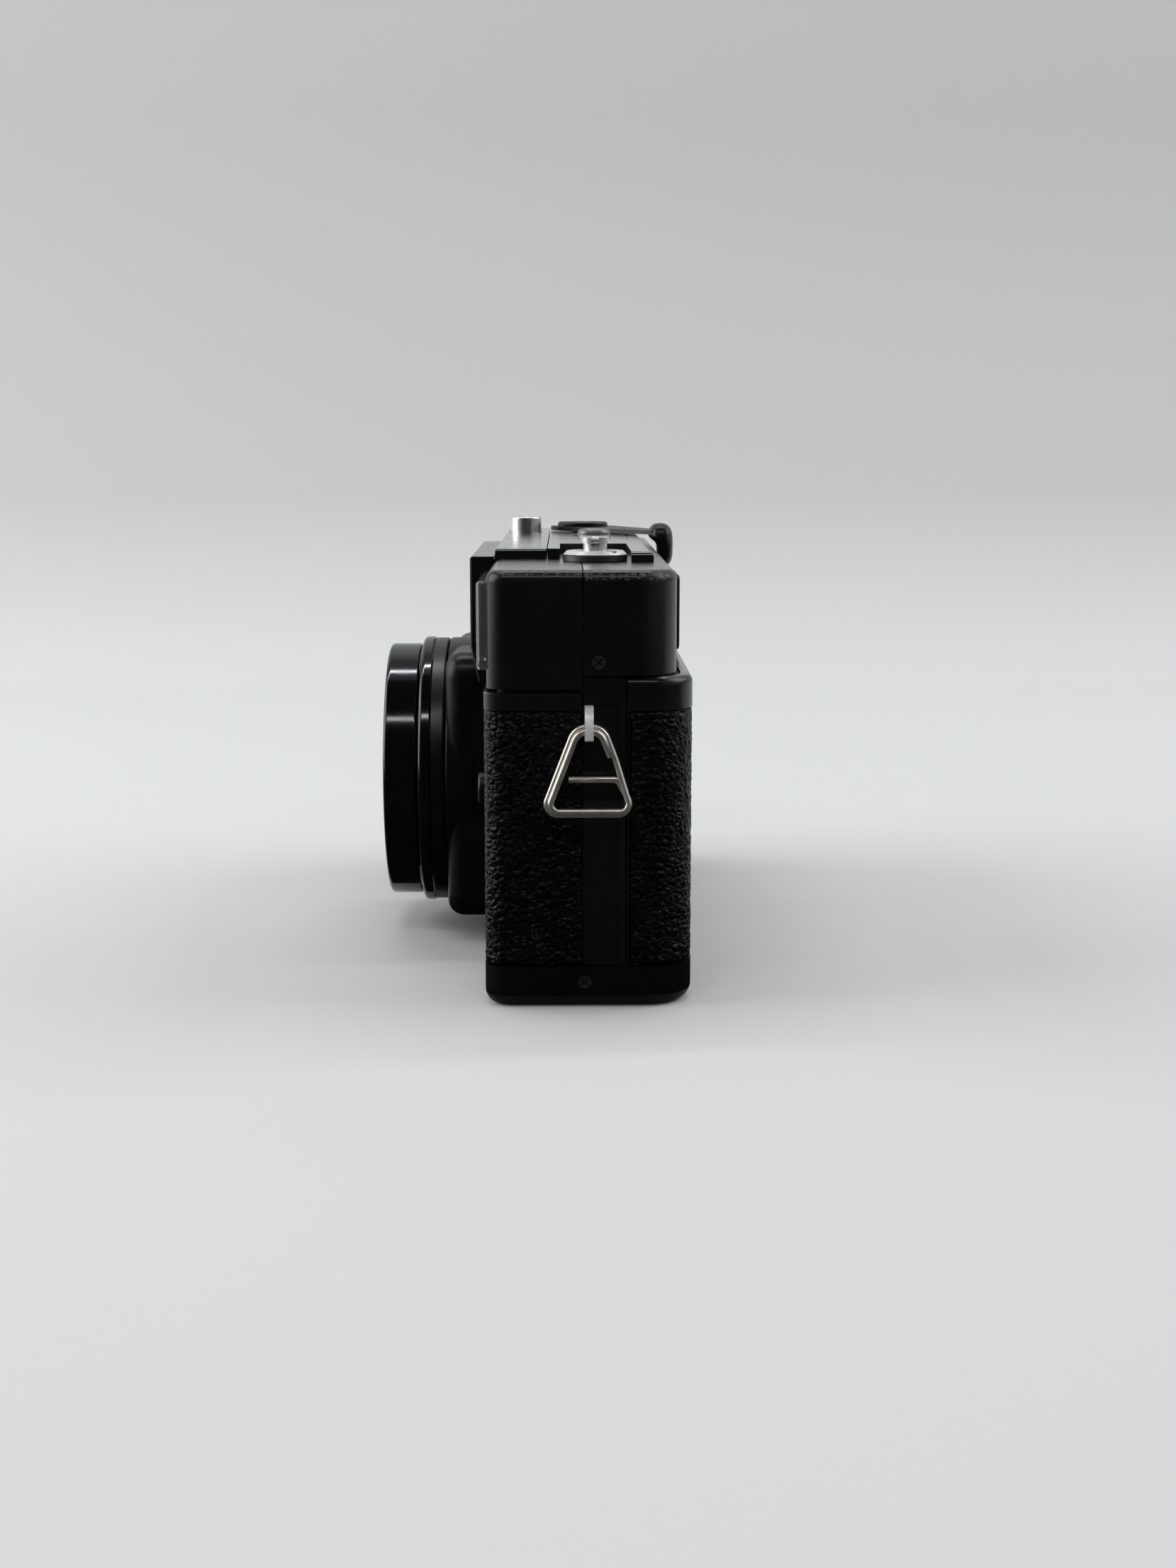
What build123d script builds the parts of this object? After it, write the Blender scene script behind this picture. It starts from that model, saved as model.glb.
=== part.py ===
"""Compact 35 mm rangefinder camera with a built-in flash.

X runs from side to side: +X is the rewind side and -X the wind side.
The lens looks along -Y and the film door is at +Y. Z is up, and Z = 0 is the
plane that the camera stands on. The origin is the mouth of the tripod socket,
straight below the lens axis.
"""
from build123d import *
import os
from math import cos, radians, sin

# ---------------------------------------------------------------- body outline
HALF_WIDTH = 66.0
FRONT = -17.2
BACK = 17.2
CORNER_FRONT = 3.6
CORNER_BACK = 7.7
TOP_FRONT = FRONT + 0.5
TOP_BACK = BACK - 2.7

# ---------------------------------------------------------------- heights
BASE_TOP = 6.9
LEATHER_TOP = 49.4
TRIM_TOP = LEATHER_TOP + 2.9
DOOR_TOP = TRIM_TOP + 2.6
SHELF_TOP = 72.1
DECK_TOP = SHELF_TOP + 1.8
LENS_AXIS = 30.0

# ---------------------------------------------------------------- walls and gaps
COVER_WALL = 1.3
BASE_FLOOR = 1.6
BASE_EDGE = 2.6
LEATHER = 0.7
CHASSIS_INSET = 2.3
DOOR_WALL = 2.0
SEAM = 0.2
RUN = 0.3
SHAFT_PLAY = 0.08
SEAT = 0.1
TOP_EDGE = 1.9
SOFT_EDGE = 0.6

# ---------------------------------------------------------------- chassis and film path
CHASSIS_BOTTOM = BASE_TOP - 2.3
CHASSIS_TOP = DOOR_TOP - SEAM
RAIL = BACK - 6.0
RAIL_STEP = 0.35
GATE_WIDTH = 36.0
GATE_HEIGHT = 24.0
RAIL_HALF_LENGTH = GATE_WIDTH / 2 + 3.0
RAIL_WIDTH = 1.1
FILM_WIDTH = 35.0
TUNNEL_FRONT_WIDTH = 24.0
TUNNEL_FRONT_HEIGHT = 20.0
FILM_SPACE_LEFT = 8.5 - HALF_WIDTH
FILM_SPACE_RIGHT = HALF_WIDTH - 8.0
FILM_SPACE_LOW = CHASSIS_BOTTOM + 4.0
FILM_SPACE_HIGH = CHASSIS_TOP - 3.3
CARTRIDGE_X = HALF_WIDTH - 28.5
CARTRIDGE_Y = 1.4
CARTRIDGE_ROOM = 12.9
CARTRIDGE_HEIGHT = 47.0
WIND_X = 19.0 - HALF_WIDTH
WIND_Y = 0.0
SPOOL_ROOM = 11.8
SPOOL_R = 7.0
SPOOL_SHAFT_R = 2.2
SPOOL_SLOTS = 6
SPROCKET_X = WIND_X + 19.5
SPROCKET_Y = 5.4
SPROCKET_ROOM = 6.6
SPROCKET_R = 4.9
SPROCKET_TEETH = 8
TOOTH = 1.0
BATTERY_X = HALF_WIDTH - 9.4
BATTERY_Y = FRONT + 9.8
BATTERY_R = 7.0
BATTERY_LOW = 2.4
BATTERY_LENGTH = 50.0

# ---------------------------------------------------------------- side strips, lugs, rings
STRIP_FRONT = -1.0
STRIP_BACK = 5.95
STRIP_PROUD = 0.35
FRAME_BAR_LOW = TRIM_TOP - 1.7
FRAME_BAND = 1.05
LUG_Z = LEATHER_TOP - 1.9
LUG_R = 2.8
LUG_REACH = 1.6
LUG_THICK = 1.4
LUG_HOLE_R = 1.35
RING_WIRE_R = 0.52
RING_DROP = 14.35
RING_HALF_TOP = 1.4
RING_HALF_BASE = 8.4
RING_CORNER = 2.2
RING_APEX = 1.2
RING_SPUR_DROP = 8.9
RING_SPUR_END = -2.9
RING_TURN_GAP = 0.04
RING_SHRINK = 0.35
SIDE_SCREW_R = 1.15
SCREW_SHANK_R = 0.7
SCREW_HEAD = 1.0
SCREW_LENGTH = 2.2
SCREW_SUNK = 0.1
BASE_SCREW_Y = -0.7
BASE_SCREW_Z = 4.3
TOP_SCREW_Y = 1.6
TOP_SCREW_Z = DOOR_TOP + 2.4

# ---------------------------------------------------------------- top: decks, finder block, flash
FINDER_LEFT = WIND_X + 17.0
FINDER_RIGHT = CARTRIDGE_X - 6.5
FINDER_FRONT = FRONT - 3.5
FINDER_TOP = SHELF_TOP + 0.4
FINDER_BOTTOM = TRIM_TOP - 2.1
FINDER_TAPER_TOP = TRIM_TOP + 4.3
FINDER_TAPER = 1.4
FINDER_WALL = 1.5
DECK_FRONT = TOP_FRONT + 0.5
DECK_BACK = TOP_BACK - 3.1
DECK_LEFT = 2.0 - HALF_WIDTH
DECK_SEAM_Y = -7.0
DECK_SEAM_X = -14.5
DECK_HORN_X = CARTRIDGE_X + 4.5
CRANK_BAY_X = CARTRIDGE_X - 26.0
CRANK_BAY_HALF = 6.15
WIND_DECK_LEFT = DECK_LEFT + 2.0
WIND_DECK_RIGHT = -5.0
WIND_DECK_BACK = DECK_BACK - 3.0
WIND_DECK_THICK = 0.5
COUNTER_Y = 1.0
COUNTER_R = 3.3
DIAL_R = 8.0
DIAL_OFFSET = 5.0
DIAL_TEETH = 36
COUNTER_X = SPROCKET_X + DIAL_OFFSET
BEZEL_LEFT = FINDER_LEFT + 3.0
BEZEL_RIGHT = FINDER_RIGHT - 3.0
BEZEL_THICK = 0.9
WINDOW_THICK = 0.8
VIEW_X = FINDER_RIGHT - 13.0
VIEW_Z = SHELF_TOP - 8.3
BEZEL_LOW = VIEW_Z - 6.2
BEZEL_HIGH = VIEW_Z + 6.2
VIEW_HALF_WIDTH = 6.4
VIEW_HALF_HEIGHT = 4.5
LIGHT_X = 1.5
LIGHT_HALF_WIDTH = 6.0
LIGHT_HALF_HEIGHT = 3.4
RANGE_X = FINDER_LEFT + 13.0
RANGE_HALF_WIDTH = 2.8
RANGE_HALF_HEIGHT = 2.3
MIRROR_Y = FRONT + 8.2
SPLITTER_HALF = 5.0
EYE_BACK = TOP_BACK + 2.3
EYE_LOW = DOOR_TOP + 0.5
EYE_HIGH = SHELF_TOP - 3.1
EYE_HALF_WIDTH = 8.3
EYE_OPEN_HALF_WIDTH = 5.0
EYE_OPEN_HALF_HEIGHT = 3.4
FLASH_LEFT = FINDER_RIGHT + 4.0
FLASH_RIGHT = HALF_WIDTH - 3.4
FLASH_LOW = TRIM_TOP + 3.3
FLASH_HIGH = SHELF_TOP - 1.9
FLASH_FRONT = TOP_FRONT - 1.6
FLASH_SEAT = TOP_FRONT + 0.7
FLASH_WALL_LOW = TRIM_TOP + 0.6
TUBE_R = 1.6
FLASH_RIB = 1.9
REFLECTOR_DEPTH = 9.0
CAPACITOR_R = 5.4

# ---------------------------------------------------------------- lens
HOUSING_FRONT = FRONT - 8.5
HOUSING_CORNER = 4.5
HOUSING_EDGE = 3.0
SLEEVE_FRONT = HOUSING_FRONT - 4.6
FOCUS_LIP = 1.5
FOCUS_FRONT = HOUSING_FRONT - 5.2
RING_BACK = FOCUS_FRONT - RUN
RING_FRONT = RING_BACK - 6.1
FILTER_R = 23.0
RING_R = FILTER_R + 1.2
FILTER_DEPTH = 3.6
LENS_TUBE_R = 18.9
SLEEVE_BORE = LENS_TUBE_R + RUN
SLEEVE_R = SLEEVE_BORE + 1.8
HOUSING_HALF = SLEEVE_R + 3.6
FOCUS_R = SLEEVE_R + 4.3
FOCUS_LIP_R = FOCUS_R + 0.25
LENS_TUBE_BORE = LENS_TUBE_R - 3.9
LENS_TUBE_BACK = FRONT - 3.8
FRONT_GLASS_R = LENS_TUBE_R - 6.9
NAME_RING_BACK = RING_BACK + SEAM
DOME_R = 30.0
DOME_RISE = 2.4
REAR_GLASS_R = SLEEVE_BORE - 12.2
SHUTTER_FRONT = FRONT - 2.0
SHUTTER_BACK = FRONT + 1.2
SHUTTER_PLATE = 1.0
APERTURE_R = SLEEVE_BORE - 13.0
BLADE_PIVOT = SLEEVE_BORE - 5.7
BLADE_THICK = 0.25
BLADE_REACH = BLADE_PIVOT + 6.8
BLADE_SECTOR = 31.0
BLADE_LAP = 2.0
BLADE_Y = SHUTTER_FRONT + 1.35
BLADE_STEP = 0.4
GLASS_DEPTH = 4.0
PIVOT_R = 0.5

# ---------------------------------------------------------------- controls
RELEASE_X = WIND_X + 4.8
RELEASE_Y = TOP_FRONT + 4.7
RELEASE_R = 3.2
RELEASE_TOP = DECK_TOP + 3.3
RELEASE_TRAVEL = 1.6
DISH_R = 9.0
LEVER_HUB_R = 6.8
LEVER_LOW = DECK_TOP + RUN
LEVER_THICK = 0.8
LEVER_CAP_R = 5.3
LEVER_CAP_THICK = 0.9
LEVER_SHAFT_R = 2.0
TIP_LEFT = WIND_X + 15.7
TIP_LENGTH = 11.4
TIP_FRONT = TOP_BACK + SEAM
TIP_THICK = 5.2
TIP_LOW = DECK_TOP - 7.7
TIP_HIGH = LEVER_LOW + LEVER_THICK + SEAM
TIP_ROUND = 2.3
BUTTON_X = HALF_WIDTH - 19.0
BUTTON_Z = LENS_AXIS + 3.8
BUTTON_R = 2.7
BUTTON_PROUD = 1.6
BUTTON_LENGTH = 2.8
DISC_R = 5.6
DISC_THICK = 1.7
DISC_BEVEL = 0.7
DISC_LOW = SHELF_TOP + SEAT
POST_R = 2.05
POST_CAP_R = 2.45
POST_CAP_LOW = DECK_TOP + 1.3
CRANK_AXIS_Z = POST_CAP_LOW + 0.35
CRANK_THICK = 0.8
CRANK_LENGTH = 15.0
CRANK_HALF_WIDTH = 2.35
CRANK_TONGUE = 1.2
CRANK_PIN_R = 0.35
TONGUE_R = 0.75
POST_TOP = CRANK_AXIS_Z + 0.6
GRIP_R = 2.95
GRIP_HEIGHT = 1.9
FORK_R = 3.0
FORK_LOW = LENS_AXIS + 20.0
REWIND_SHAFT_R = 1.9
LATCH_Z = CHASSIS_TOP + 5.3
LATCH_THICK = 1.0
LATCH_LEG_X = HALF_WIDTH - 4.1
LATCH_LEG_LOW = LATCH_Z - 16.0
LATCH_HALF_WIDTH = 3.0
BUSH_R = 5.2
BUSH_BORE = 2.6
BUSH_DEPTH = 5.4
BUSH_HEIGHT = 6.2
HATCH_LEFT = BATTERY_X - 10.1
HATCH_RIGHT = HALF_WIDTH - 3.4
HATCH_FRONT = BATTERY_Y - 6.6
HATCH_BACK = BATTERY_Y + 7.8
HATCH_THICK = 1.4
UNLOCK_R = 2.0
HINGE_X = 4.6 - HALF_WIDTH
HINGE_Y = BACK - 4.0
KNUCKLE_R = 2.1
HINGE_PIN_R = 0.75
PLATE_THICK = 1.0
DOOR_EDGE = 1.4
LEAF = 0.35
SPRING_WIDTH = 8.0


# ================================================================ helpers
def block(x_low, x_high, y_low, y_high, z_low, z_high):
    """Box between two corners."""
    centre = Pos((x_low + x_high) / 2, (y_low + y_high) / 2, (z_low + z_high) / 2)
    return centre * Box(x_high - x_low, y_high - y_low, z_high - z_low)


def rod(x, y, z_low, z_high, radius):
    """Upright round bar."""
    return Pos(x, y, (z_low + z_high) / 2) * Cylinder(radius, z_high - z_low)


def rod_y(x, z, y_low, y_high, radius):
    """Round bar along Y."""
    return Pos(x, (y_low + y_high) / 2, z) * Rot(90, 0, 0) * Cylinder(radius, y_high - y_low)


def rod_x(y, z, x_low, x_high, radius):
    """Round bar along X."""
    return Pos((x_low + x_high) / 2, y, z) * Rot(0, 90, 0) * Cylinder(radius, x_high - x_low)


def prism(sheet, z_low, z_high):
    """A plan-view sheet raised between two heights."""
    return Pos(0, 0, z_low) * extrude(sheet, z_high - z_low)


def plan(inset=0.0, front=FRONT, back=BACK):
    """Plan outline of the body drawn in by inset, tight corners in front and wide ones behind."""
    sheet = Pos(0, (front + back) / 2) * Rectangle(2 * (HALF_WIDTH - inset), back - front - 2 * inset)
    sheet = fillet(sheet.vertices().sort_by(Axis.Y)[:2], CORNER_FRONT - inset)
    return fillet(sheet.vertices().sort_by(Axis.Y)[-2:], CORNER_BACK - inset)


def lens_turn(points):
    """Solid of revolution about the lens axis, from (radius, y) points."""
    profile = make_face(Polyline(*[(r, y) for r, y in points], close=True))
    return Pos(0, 0, LENS_AXIS) * revolve(profile, Axis.Y)


def lens_disc(y_low, y_high, radius):
    """Disc on the lens axis."""
    return rod_y(0, LENS_AXIS, y_low, y_high, radius)


def lens_ring(y_low, y_high, radius, bore):
    """Flat ring on the lens axis."""
    return lens_disc(y_low, y_high, radius) - lens_disc(y_low, y_high, bore)


def rounded_block(x_low, x_high, y_low, y_high, z_low, z_high, radius, axis=Axis.Y):
    """Box whose four edges along one axis are rounded."""
    solid = block(x_low, x_high, y_low, y_high, z_low, z_high)
    return fillet(solid.edges().filter_by(axis), radius)


def front_half(solid):
    """The part of a solid in front of the side strips."""
    return solid & block(-2 * HALF_WIDTH, 2 * HALF_WIDTH, 3 * FRONT, STRIP_FRONT - SEAM, 0, 2 * SHELF_TOP)


# ================================================================ chassis
FLOOR_ROOM = LENS_AXIS - CARTRIDGE_HEIGHT / 2
ROOF_ROOM = LENS_AXIS + CARTRIDGE_HEIGHT / 2
BEYOND = 3 * BACK
HINGE_LOW = BASE_TOP + RUN
HINGE_HIGH = DOOR_TOP - RUN
KNUCKLE_STEP = (HINGE_HIGH - HINGE_LOW) / 5
FIXED_KNUCKLES = [(HINGE_LOW + i * KNUCKLE_STEP + RUN / 2, HINGE_LOW + (i + 1) * KNUCKLE_STEP - RUN / 2)
                  for i in (0, 2, 4)]
DOOR_KNUCKLES = [(HINGE_LOW + i * KNUCKLE_STEP + RUN / 2, HINGE_LOW + (i + 1) * KNUCKLE_STEP - RUN / 2)
                 for i in (1, 3)]


def latch_leg(grow=0.0):
    """The upright limb of the back latch, or its slot when grown."""
    return block(LATCH_LEG_X - grow, LATCH_LEG_X + LATCH_THICK + grow,
                 CARTRIDGE_Y - LATCH_HALF_WIDTH - grow, CARTRIDGE_Y + LATCH_HALF_WIDTH + grow,
                 LATCH_LEG_LOW - grow, LATCH_Z + LATCH_THICK)


def chassis():
    """Die-cast frame: film rails and gate, cartridge and take-up rooms, battery bore, hinge ears."""
    body = prism(plan(CHASSIS_INSET), CHASSIS_BOTTOM, CHASSIS_TOP)
    body -= block(FILM_SPACE_LEFT, FILM_SPACE_RIGHT, RAIL, BEYOND, FILM_SPACE_LOW, FILM_SPACE_HIGH)
    body -= rod(CARTRIDGE_X, CARTRIDGE_Y, FLOOR_ROOM, ROOF_ROOM, CARTRIDGE_ROOM)
    body -= block(CARTRIDGE_X - CARTRIDGE_ROOM, CARTRIDGE_X + CARTRIDGE_ROOM, CARTRIDGE_Y, BEYOND,
                  FLOOR_ROOM, ROOF_ROOM)
    for x, y, room in ((WIND_X, WIND_Y, SPOOL_ROOM), (SPROCKET_X, SPROCKET_Y, SPROCKET_ROOM)):
        body -= rod(x, y, FILM_SPACE_LOW, FILM_SPACE_HIGH, room)
        body -= block(x - room, x + room, y, RAIL, FILM_SPACE_LOW, FILM_SPACE_HIGH)
        body -= rod(x, y, CHASSIS_BOTTOM, CHASSIS_TOP, SPOOL_SHAFT_R + SHAFT_PLAY)
    gate = Plane((0, RAIL, LENS_AXIS), x_dir=(1, 0, 0), z_dir=(0, -1, 0))
    tunnel_mouth = gate * Rectangle(GATE_WIDTH, GATE_HEIGHT)
    tunnel_end = gate.offset(RAIL - FRONT) * Rectangle(TUNNEL_FRONT_WIDTH, TUNNEL_FRONT_HEIGHT)
    body -= loft([tunnel_mouth, tunnel_end])
    for half, step in ((GATE_HEIGHT / 2 + 0.9, RAIL_STEP), (FILM_WIDTH / 2 + 1.1, 2 * RAIL_STEP)):
        for z in (LENS_AXIS - half, LENS_AXIS + half):
            body += block(-RAIL_HALF_LENGTH, RAIL_HALF_LENGTH, RAIL - step, RAIL + step,
                          z - RAIL_WIDTH / 2, z + RAIL_WIDTH / 2)
    body -= rod(BATTERY_X, BATTERY_Y, CHASSIS_BOTTOM, BATTERY_LOW + BATTERY_LENGTH + SEAT, BATTERY_R + SEAT)
    body -= rod(CARTRIDGE_X, CARTRIDGE_Y, ROOF_ROOM, CHASSIS_TOP, FORK_R + RUN)
    body -= rod(0, 0, CHASSIS_BOTTOM, BUSH_HEIGHT + SEAT, BUSH_R + SEAT)
    body -= latch_leg(RUN)
    body -= block(-BEYOND * 2, HINGE_X + KNUCKLE_R + 1.0, HINGE_Y - KNUCKLE_R - 0.5, BEYOND, 0, DECK_TOP)
    for low, high in FIXED_KNUCKLES:
        body += block(HINGE_X - 1.0, HINGE_X + 1.0, HINGE_Y - KNUCKLE_R - 1.0, HINGE_Y, low, high)
        body += rod(HINGE_X, HINGE_Y, low, high, KNUCKLE_R)
    return body - rod(HINGE_X, HINGE_Y, HINGE_LOW, HINGE_HIGH, HINGE_PIN_R)


def hinge_pin():
    """Steel pin through the door's knuckles."""
    return rod(HINGE_X, HINGE_Y, HINGE_LOW, HINGE_HIGH, HINGE_PIN_R)


# ================================================================ lower covers
def screw_seat(side, y, z):
    """Round seat for a side screw's head and shank."""
    face = side * HALF_WIDTH
    return (rod_x(y, z, *sorted((face, face - side * SCREW_HEAD)), SIDE_SCREW_R + SEAT)
            + rod_x(y, z, *sorted((face, face - side * SCREW_LENGTH)), SCREW_SHANK_R))


def base_cover():
    """Bottom tray with rounded edges, openings for the tripod bush, battery hatch and rewind button."""
    tray = prism(plan(), 0, BASE_TOP)
    tray = fillet(tray.faces().sort_by(Axis.Z)[0].edges(), BASE_EDGE)
    tray -= prism(plan(COVER_WALL), BASE_FLOOR, BASE_TOP)
    tray -= rod(0, 0, 0, BASE_FLOOR, BUSH_R)
    tray -= block(HATCH_LEFT - RUN, HATCH_RIGHT + SEAM, HATCH_FRONT - SEAM, HATCH_BACK + SEAM, 0, BASE_FLOOR)
    tray -= rod(SPROCKET_X, SPROCKET_Y, 0, BASE_FLOOR, UNLOCK_R + RUN)
    for side in (-1, 1):
        tray -= screw_seat(side, BASE_SCREW_Y, BASE_SCREW_Z)
    return tray


def front_cover():
    """Lower front shell that wraps both ends, with a smooth rim above a sunk field for the covering."""
    shell = prism(plan(), BASE_TOP + SEAM, TRIM_TOP) - prism(plan(CHASSIS_INSET - SEAT), 0, DECK_TOP)
    shell -= prism(plan(), BASE_TOP + SEAM, LEATHER_TOP) - prism(plan(LEATHER), 0, DECK_TOP)
    shell -= lens_disc(BEYOND * -1, 0, SLEEVE_R + SEAT)
    shell -= rod_y(BUTTON_X, BUTTON_Z, 2 * FRONT, 0, BUTTON_R + RUN)
    return front_half(shell)


def housing_foot(grow=0.0):
    """Square foot of the lens housing that stands in the covering's cut-out."""
    half = HOUSING_HALF - 2 * SEAM + grow
    low = max(LENS_AXIS - half, BASE_TOP + SEAM)
    high = min(LENS_AXIS + half, LEATHER_TOP)
    return block(-half, half, FRONT - SEAM, FRONT + LEATHER, low, high)


def front_leatherette():
    """Grained covering round the lower front, open for the lens housing and the front button."""
    skin = prism(plan(), BASE_TOP + SEAM, LEATHER_TOP) - prism(plan(LEATHER), 0, DECK_TOP)
    skin -= housing_foot(SEAM)
    skin -= rod_y(BUTTON_X, BUTTON_Z, 2 * FRONT, 0, BUTTON_R + RUN)
    return front_half(skin)


def side_strip(side, y_back):
    """End strip between front cover and door, with a raised frame above and behind its plain field."""
    low = BASE_TOP + SEAM
    inner = HALF_WIDTH - CHASSIS_INSET + SEAT
    field = HALF_WIDTH - STRIP_PROUD
    strip = block(inner, field, STRIP_FRONT, y_back, low, DOOR_TOP)
    strip += block(inner, HALF_WIDTH, STRIP_FRONT + SEAM, y_back, FRAME_BAR_LOW, TRIM_TOP)
    strip += block(inner, HALF_WIDTH, y_back - FRAME_BAND, y_back, low, TRIM_TOP)
    strip -= block(inner, field, -LUG_THICK / 2, LUG_THICK / 2, LUG_Z - LUG_R, LUG_Z + LUG_R)
    return strip if side > 0 else mirror(strip, Plane.YZ)


def side_strips():
    """The strips at the rewind end and, wider, at the hinge end."""
    return [side_strip(1, STRIP_BACK), side_strip(-1, HINGE_Y - KNUCKLE_R - 1.0)]


def strap_lugs():
    """Two upright eye plates for the neck strap, one in each end strip."""
    inner = HALF_WIDTH - CHASSIS_INSET + SEAT
    eye_x = HALF_WIDTH + LUG_REACH
    plate = block(inner, eye_x, -LUG_THICK / 2, LUG_THICK / 2, LUG_Z - LUG_R, LUG_Z + LUG_R)
    plate += rod_y(eye_x, LUG_Z, -LUG_THICK / 2, LUG_THICK / 2, LUG_R)
    plate -= rod_y(RING_X, RING_Z, -LUG_THICK, LUG_THICK, LUG_HOLE_R)
    return [plate, mirror(plate, Plane.YZ)]


# ================================================================ strap rings
RING_X = HALF_WIDTH + LUG_REACH + 0.6
RING_Z = LUG_Z - 0.45


def ring_turn(x, shrink):
    """One closed turn of the ring wire with rounded corners."""
    top = RING_Z
    base = RING_Z - RING_DROP + shrink
    half_base = RING_HALF_BASE - 1.5 * shrink
    corners = [(RING_HALF_TOP, top), (half_base, base), (-half_base, base), (-RING_HALF_TOP, top)]
    radii = [RING_APEX, RING_CORNER, RING_CORNER, RING_APEX]
    outline = FilletPolyline(*[(x, y, z) for y, z in corners], radius=radii, close=True)
    section = Plane(outline @ 0, z_dir=outline % 0) * Circle(RING_WIRE_R)
    return sweep(section, outline)


def strap_ring(side):
    """Split triangular ring: two turns of wire side by side and the spur that ends free inside them."""
    outer = ring_turn(RING_X - RING_WIRE_R - RING_TURN_GAP, 0.0)
    inner = ring_turn(RING_X + RING_WIRE_R + RING_TURN_GAP, RING_SHRINK)
    spur_z = RING_Z - RING_SPUR_DROP
    reach = RING_HALF_TOP + (RING_HALF_BASE - RING_HALF_TOP) * RING_SPUR_DROP / RING_DROP
    spur = rod_y(RING_X, spur_z, RING_SPUR_END, reach - 0.5, RING_WIRE_R)
    ring = outer + inner + spur
    return ring if side > 0 else mirror(ring, Plane.YZ)


# ================================================================ top covers
def top_plan(inset=0.0):
    """Plan outline of the top housing."""
    return plan(inset, TOP_FRONT, TOP_BACK)


def rear_top_cover():
    """Rear top shell: side shelf, rounded back corners, holes for shafts, finder eyepiece and screws."""
    low = DOOR_TOP + SEAM
    region = block(-BEYOND * 2, BEYOND * 2, STRIP_FRONT + SEAM / 2, BEYOND, low, SHELF_TOP)
    shell = prism(top_plan(), low, SHELF_TOP) & region
    rim = shell.faces().sort_by(Axis.Z)[-1].edges()
    shell = fillet([e for e in rim if e.center().Y > STRIP_FRONT + 1], TOP_EDGE)
    shell -= prism(top_plan(COVER_WALL), low, SHELF_TOP - COVER_WALL)
    shell -= rod(CARTRIDGE_X, CARTRIDGE_Y, low, SHELF_TOP, REWIND_SHAFT_R + RUN)
    shell -= rod(WIND_X, WIND_Y, low, SHELF_TOP, LEVER_SHAFT_R + RUN)
    shell -= eyepiece_block(0, TOP_BACK - COVER_WALL, TOP_BACK, EYE_OPEN_HALF_WIDTH, EYE_OPEN_HALF_HEIGHT)
    for side in (-1, 1):
        shell -= screw_seat(side, TOP_SCREW_Y, TOP_SCREW_Z)
    return shell


def eyepiece_block(edge, y_low, y_high, half_width, half_height):
    """Rounded block centred on the eyepiece."""
    z = (EYE_LOW + EYE_HIGH) / 2 + 1.2
    solid = block(VIEW_X - half_width, VIEW_X + half_width, y_low, y_high, z - half_height, z + half_height)
    return fillet(solid.edges().filter_by(Axis.Y), edge) if edge else solid


def end_shell(x_low, x_high, z_low, edge):
    """Front part of the top housing at one end: a shell open below and behind."""
    region = block(x_low, x_high, -BEYOND, STRIP_FRONT - SEAM / 2, z_low, SHELF_TOP)
    shell = prism(top_plan(), z_low, SHELF_TOP) & region
    rim = shell.faces().sort_by(Axis.Z)[-1].edges()
    inner_x = min(abs(x_low), abs(x_high))
    outer = [e for e in rim if e.center().Y < STRIP_FRONT - 1 and abs(e.center().X) > inner_x + 1]
    shell = fillet(outer, edge)
    room = prism(top_plan(COVER_WALL), z_low, SHELF_TOP - COVER_WALL)
    inside = block(x_low + COVER_WALL, x_high - COVER_WALL, -BEYOND, STRIP_FRONT, z_low, SHELF_TOP)
    return shell - (room & inside) - prism(plan(CHASSIS_INSET - SEAT), 0, CHASSIS_TOP + SEAT)


def flash_housing():
    """Shell of the flash unit with the window opening in its front."""
    shell = end_shell(FINDER_RIGHT + SEAM, BEYOND * 2, FLASH_WALL_LOW, TOP_EDGE)
    return shell - block(FLASH_LEFT, FLASH_RIGHT, -BEYOND, FLASH_SEAT + COVER_WALL, FLASH_LOW, FLASH_HIGH)


def release_side_cover():
    """Front top shell on the wind side, bored for the shutter release."""
    shell = end_shell(-BEYOND * 2, FINDER_LEFT - SEAM, FLASH_WALL_LOW, SOFT_EDGE)
    shell -= rod(WIND_X, WIND_Y, SHELF_TOP - 2 * COVER_WALL, SHELF_TOP, LEVER_SHAFT_R + RUN)
    return shell - rod(RELEASE_X, RELEASE_Y, SHELF_TOP - 2 * COVER_WALL, SHELF_TOP, RELEASE_R + RUN)


FINDER_FOOT = CHASSIS_TOP + SEAT
FINDER_FLOOR = FINDER_FOOT + FINDER_WALL


def finder_profile():
    """Side outline of the finder block, drawn back below and stepped under the decks."""
    front_low = FINDER_FRONT + FINDER_TAPER
    lip_back = FRONT - SEAM
    trim = TRIM_TOP + SEAM
    ledge = FRONT + CHASSIS_INSET - SEAT
    step = DECK_FRONT - SEAM
    return make_face(Polyline(
        (lip_back, FINDER_BOTTOM), (front_low, FINDER_BOTTOM), (FINDER_FRONT, FINDER_TAPER_TOP),
        (FINDER_FRONT, FINDER_TOP), (step, FINDER_TOP), (step, SHELF_TOP), (STRIP_FRONT, SHELF_TOP),
        (STRIP_FRONT, FINDER_FOOT), (ledge, FINDER_FOOT), (ledge, trim), (lip_back, trim), close=True))


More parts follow.
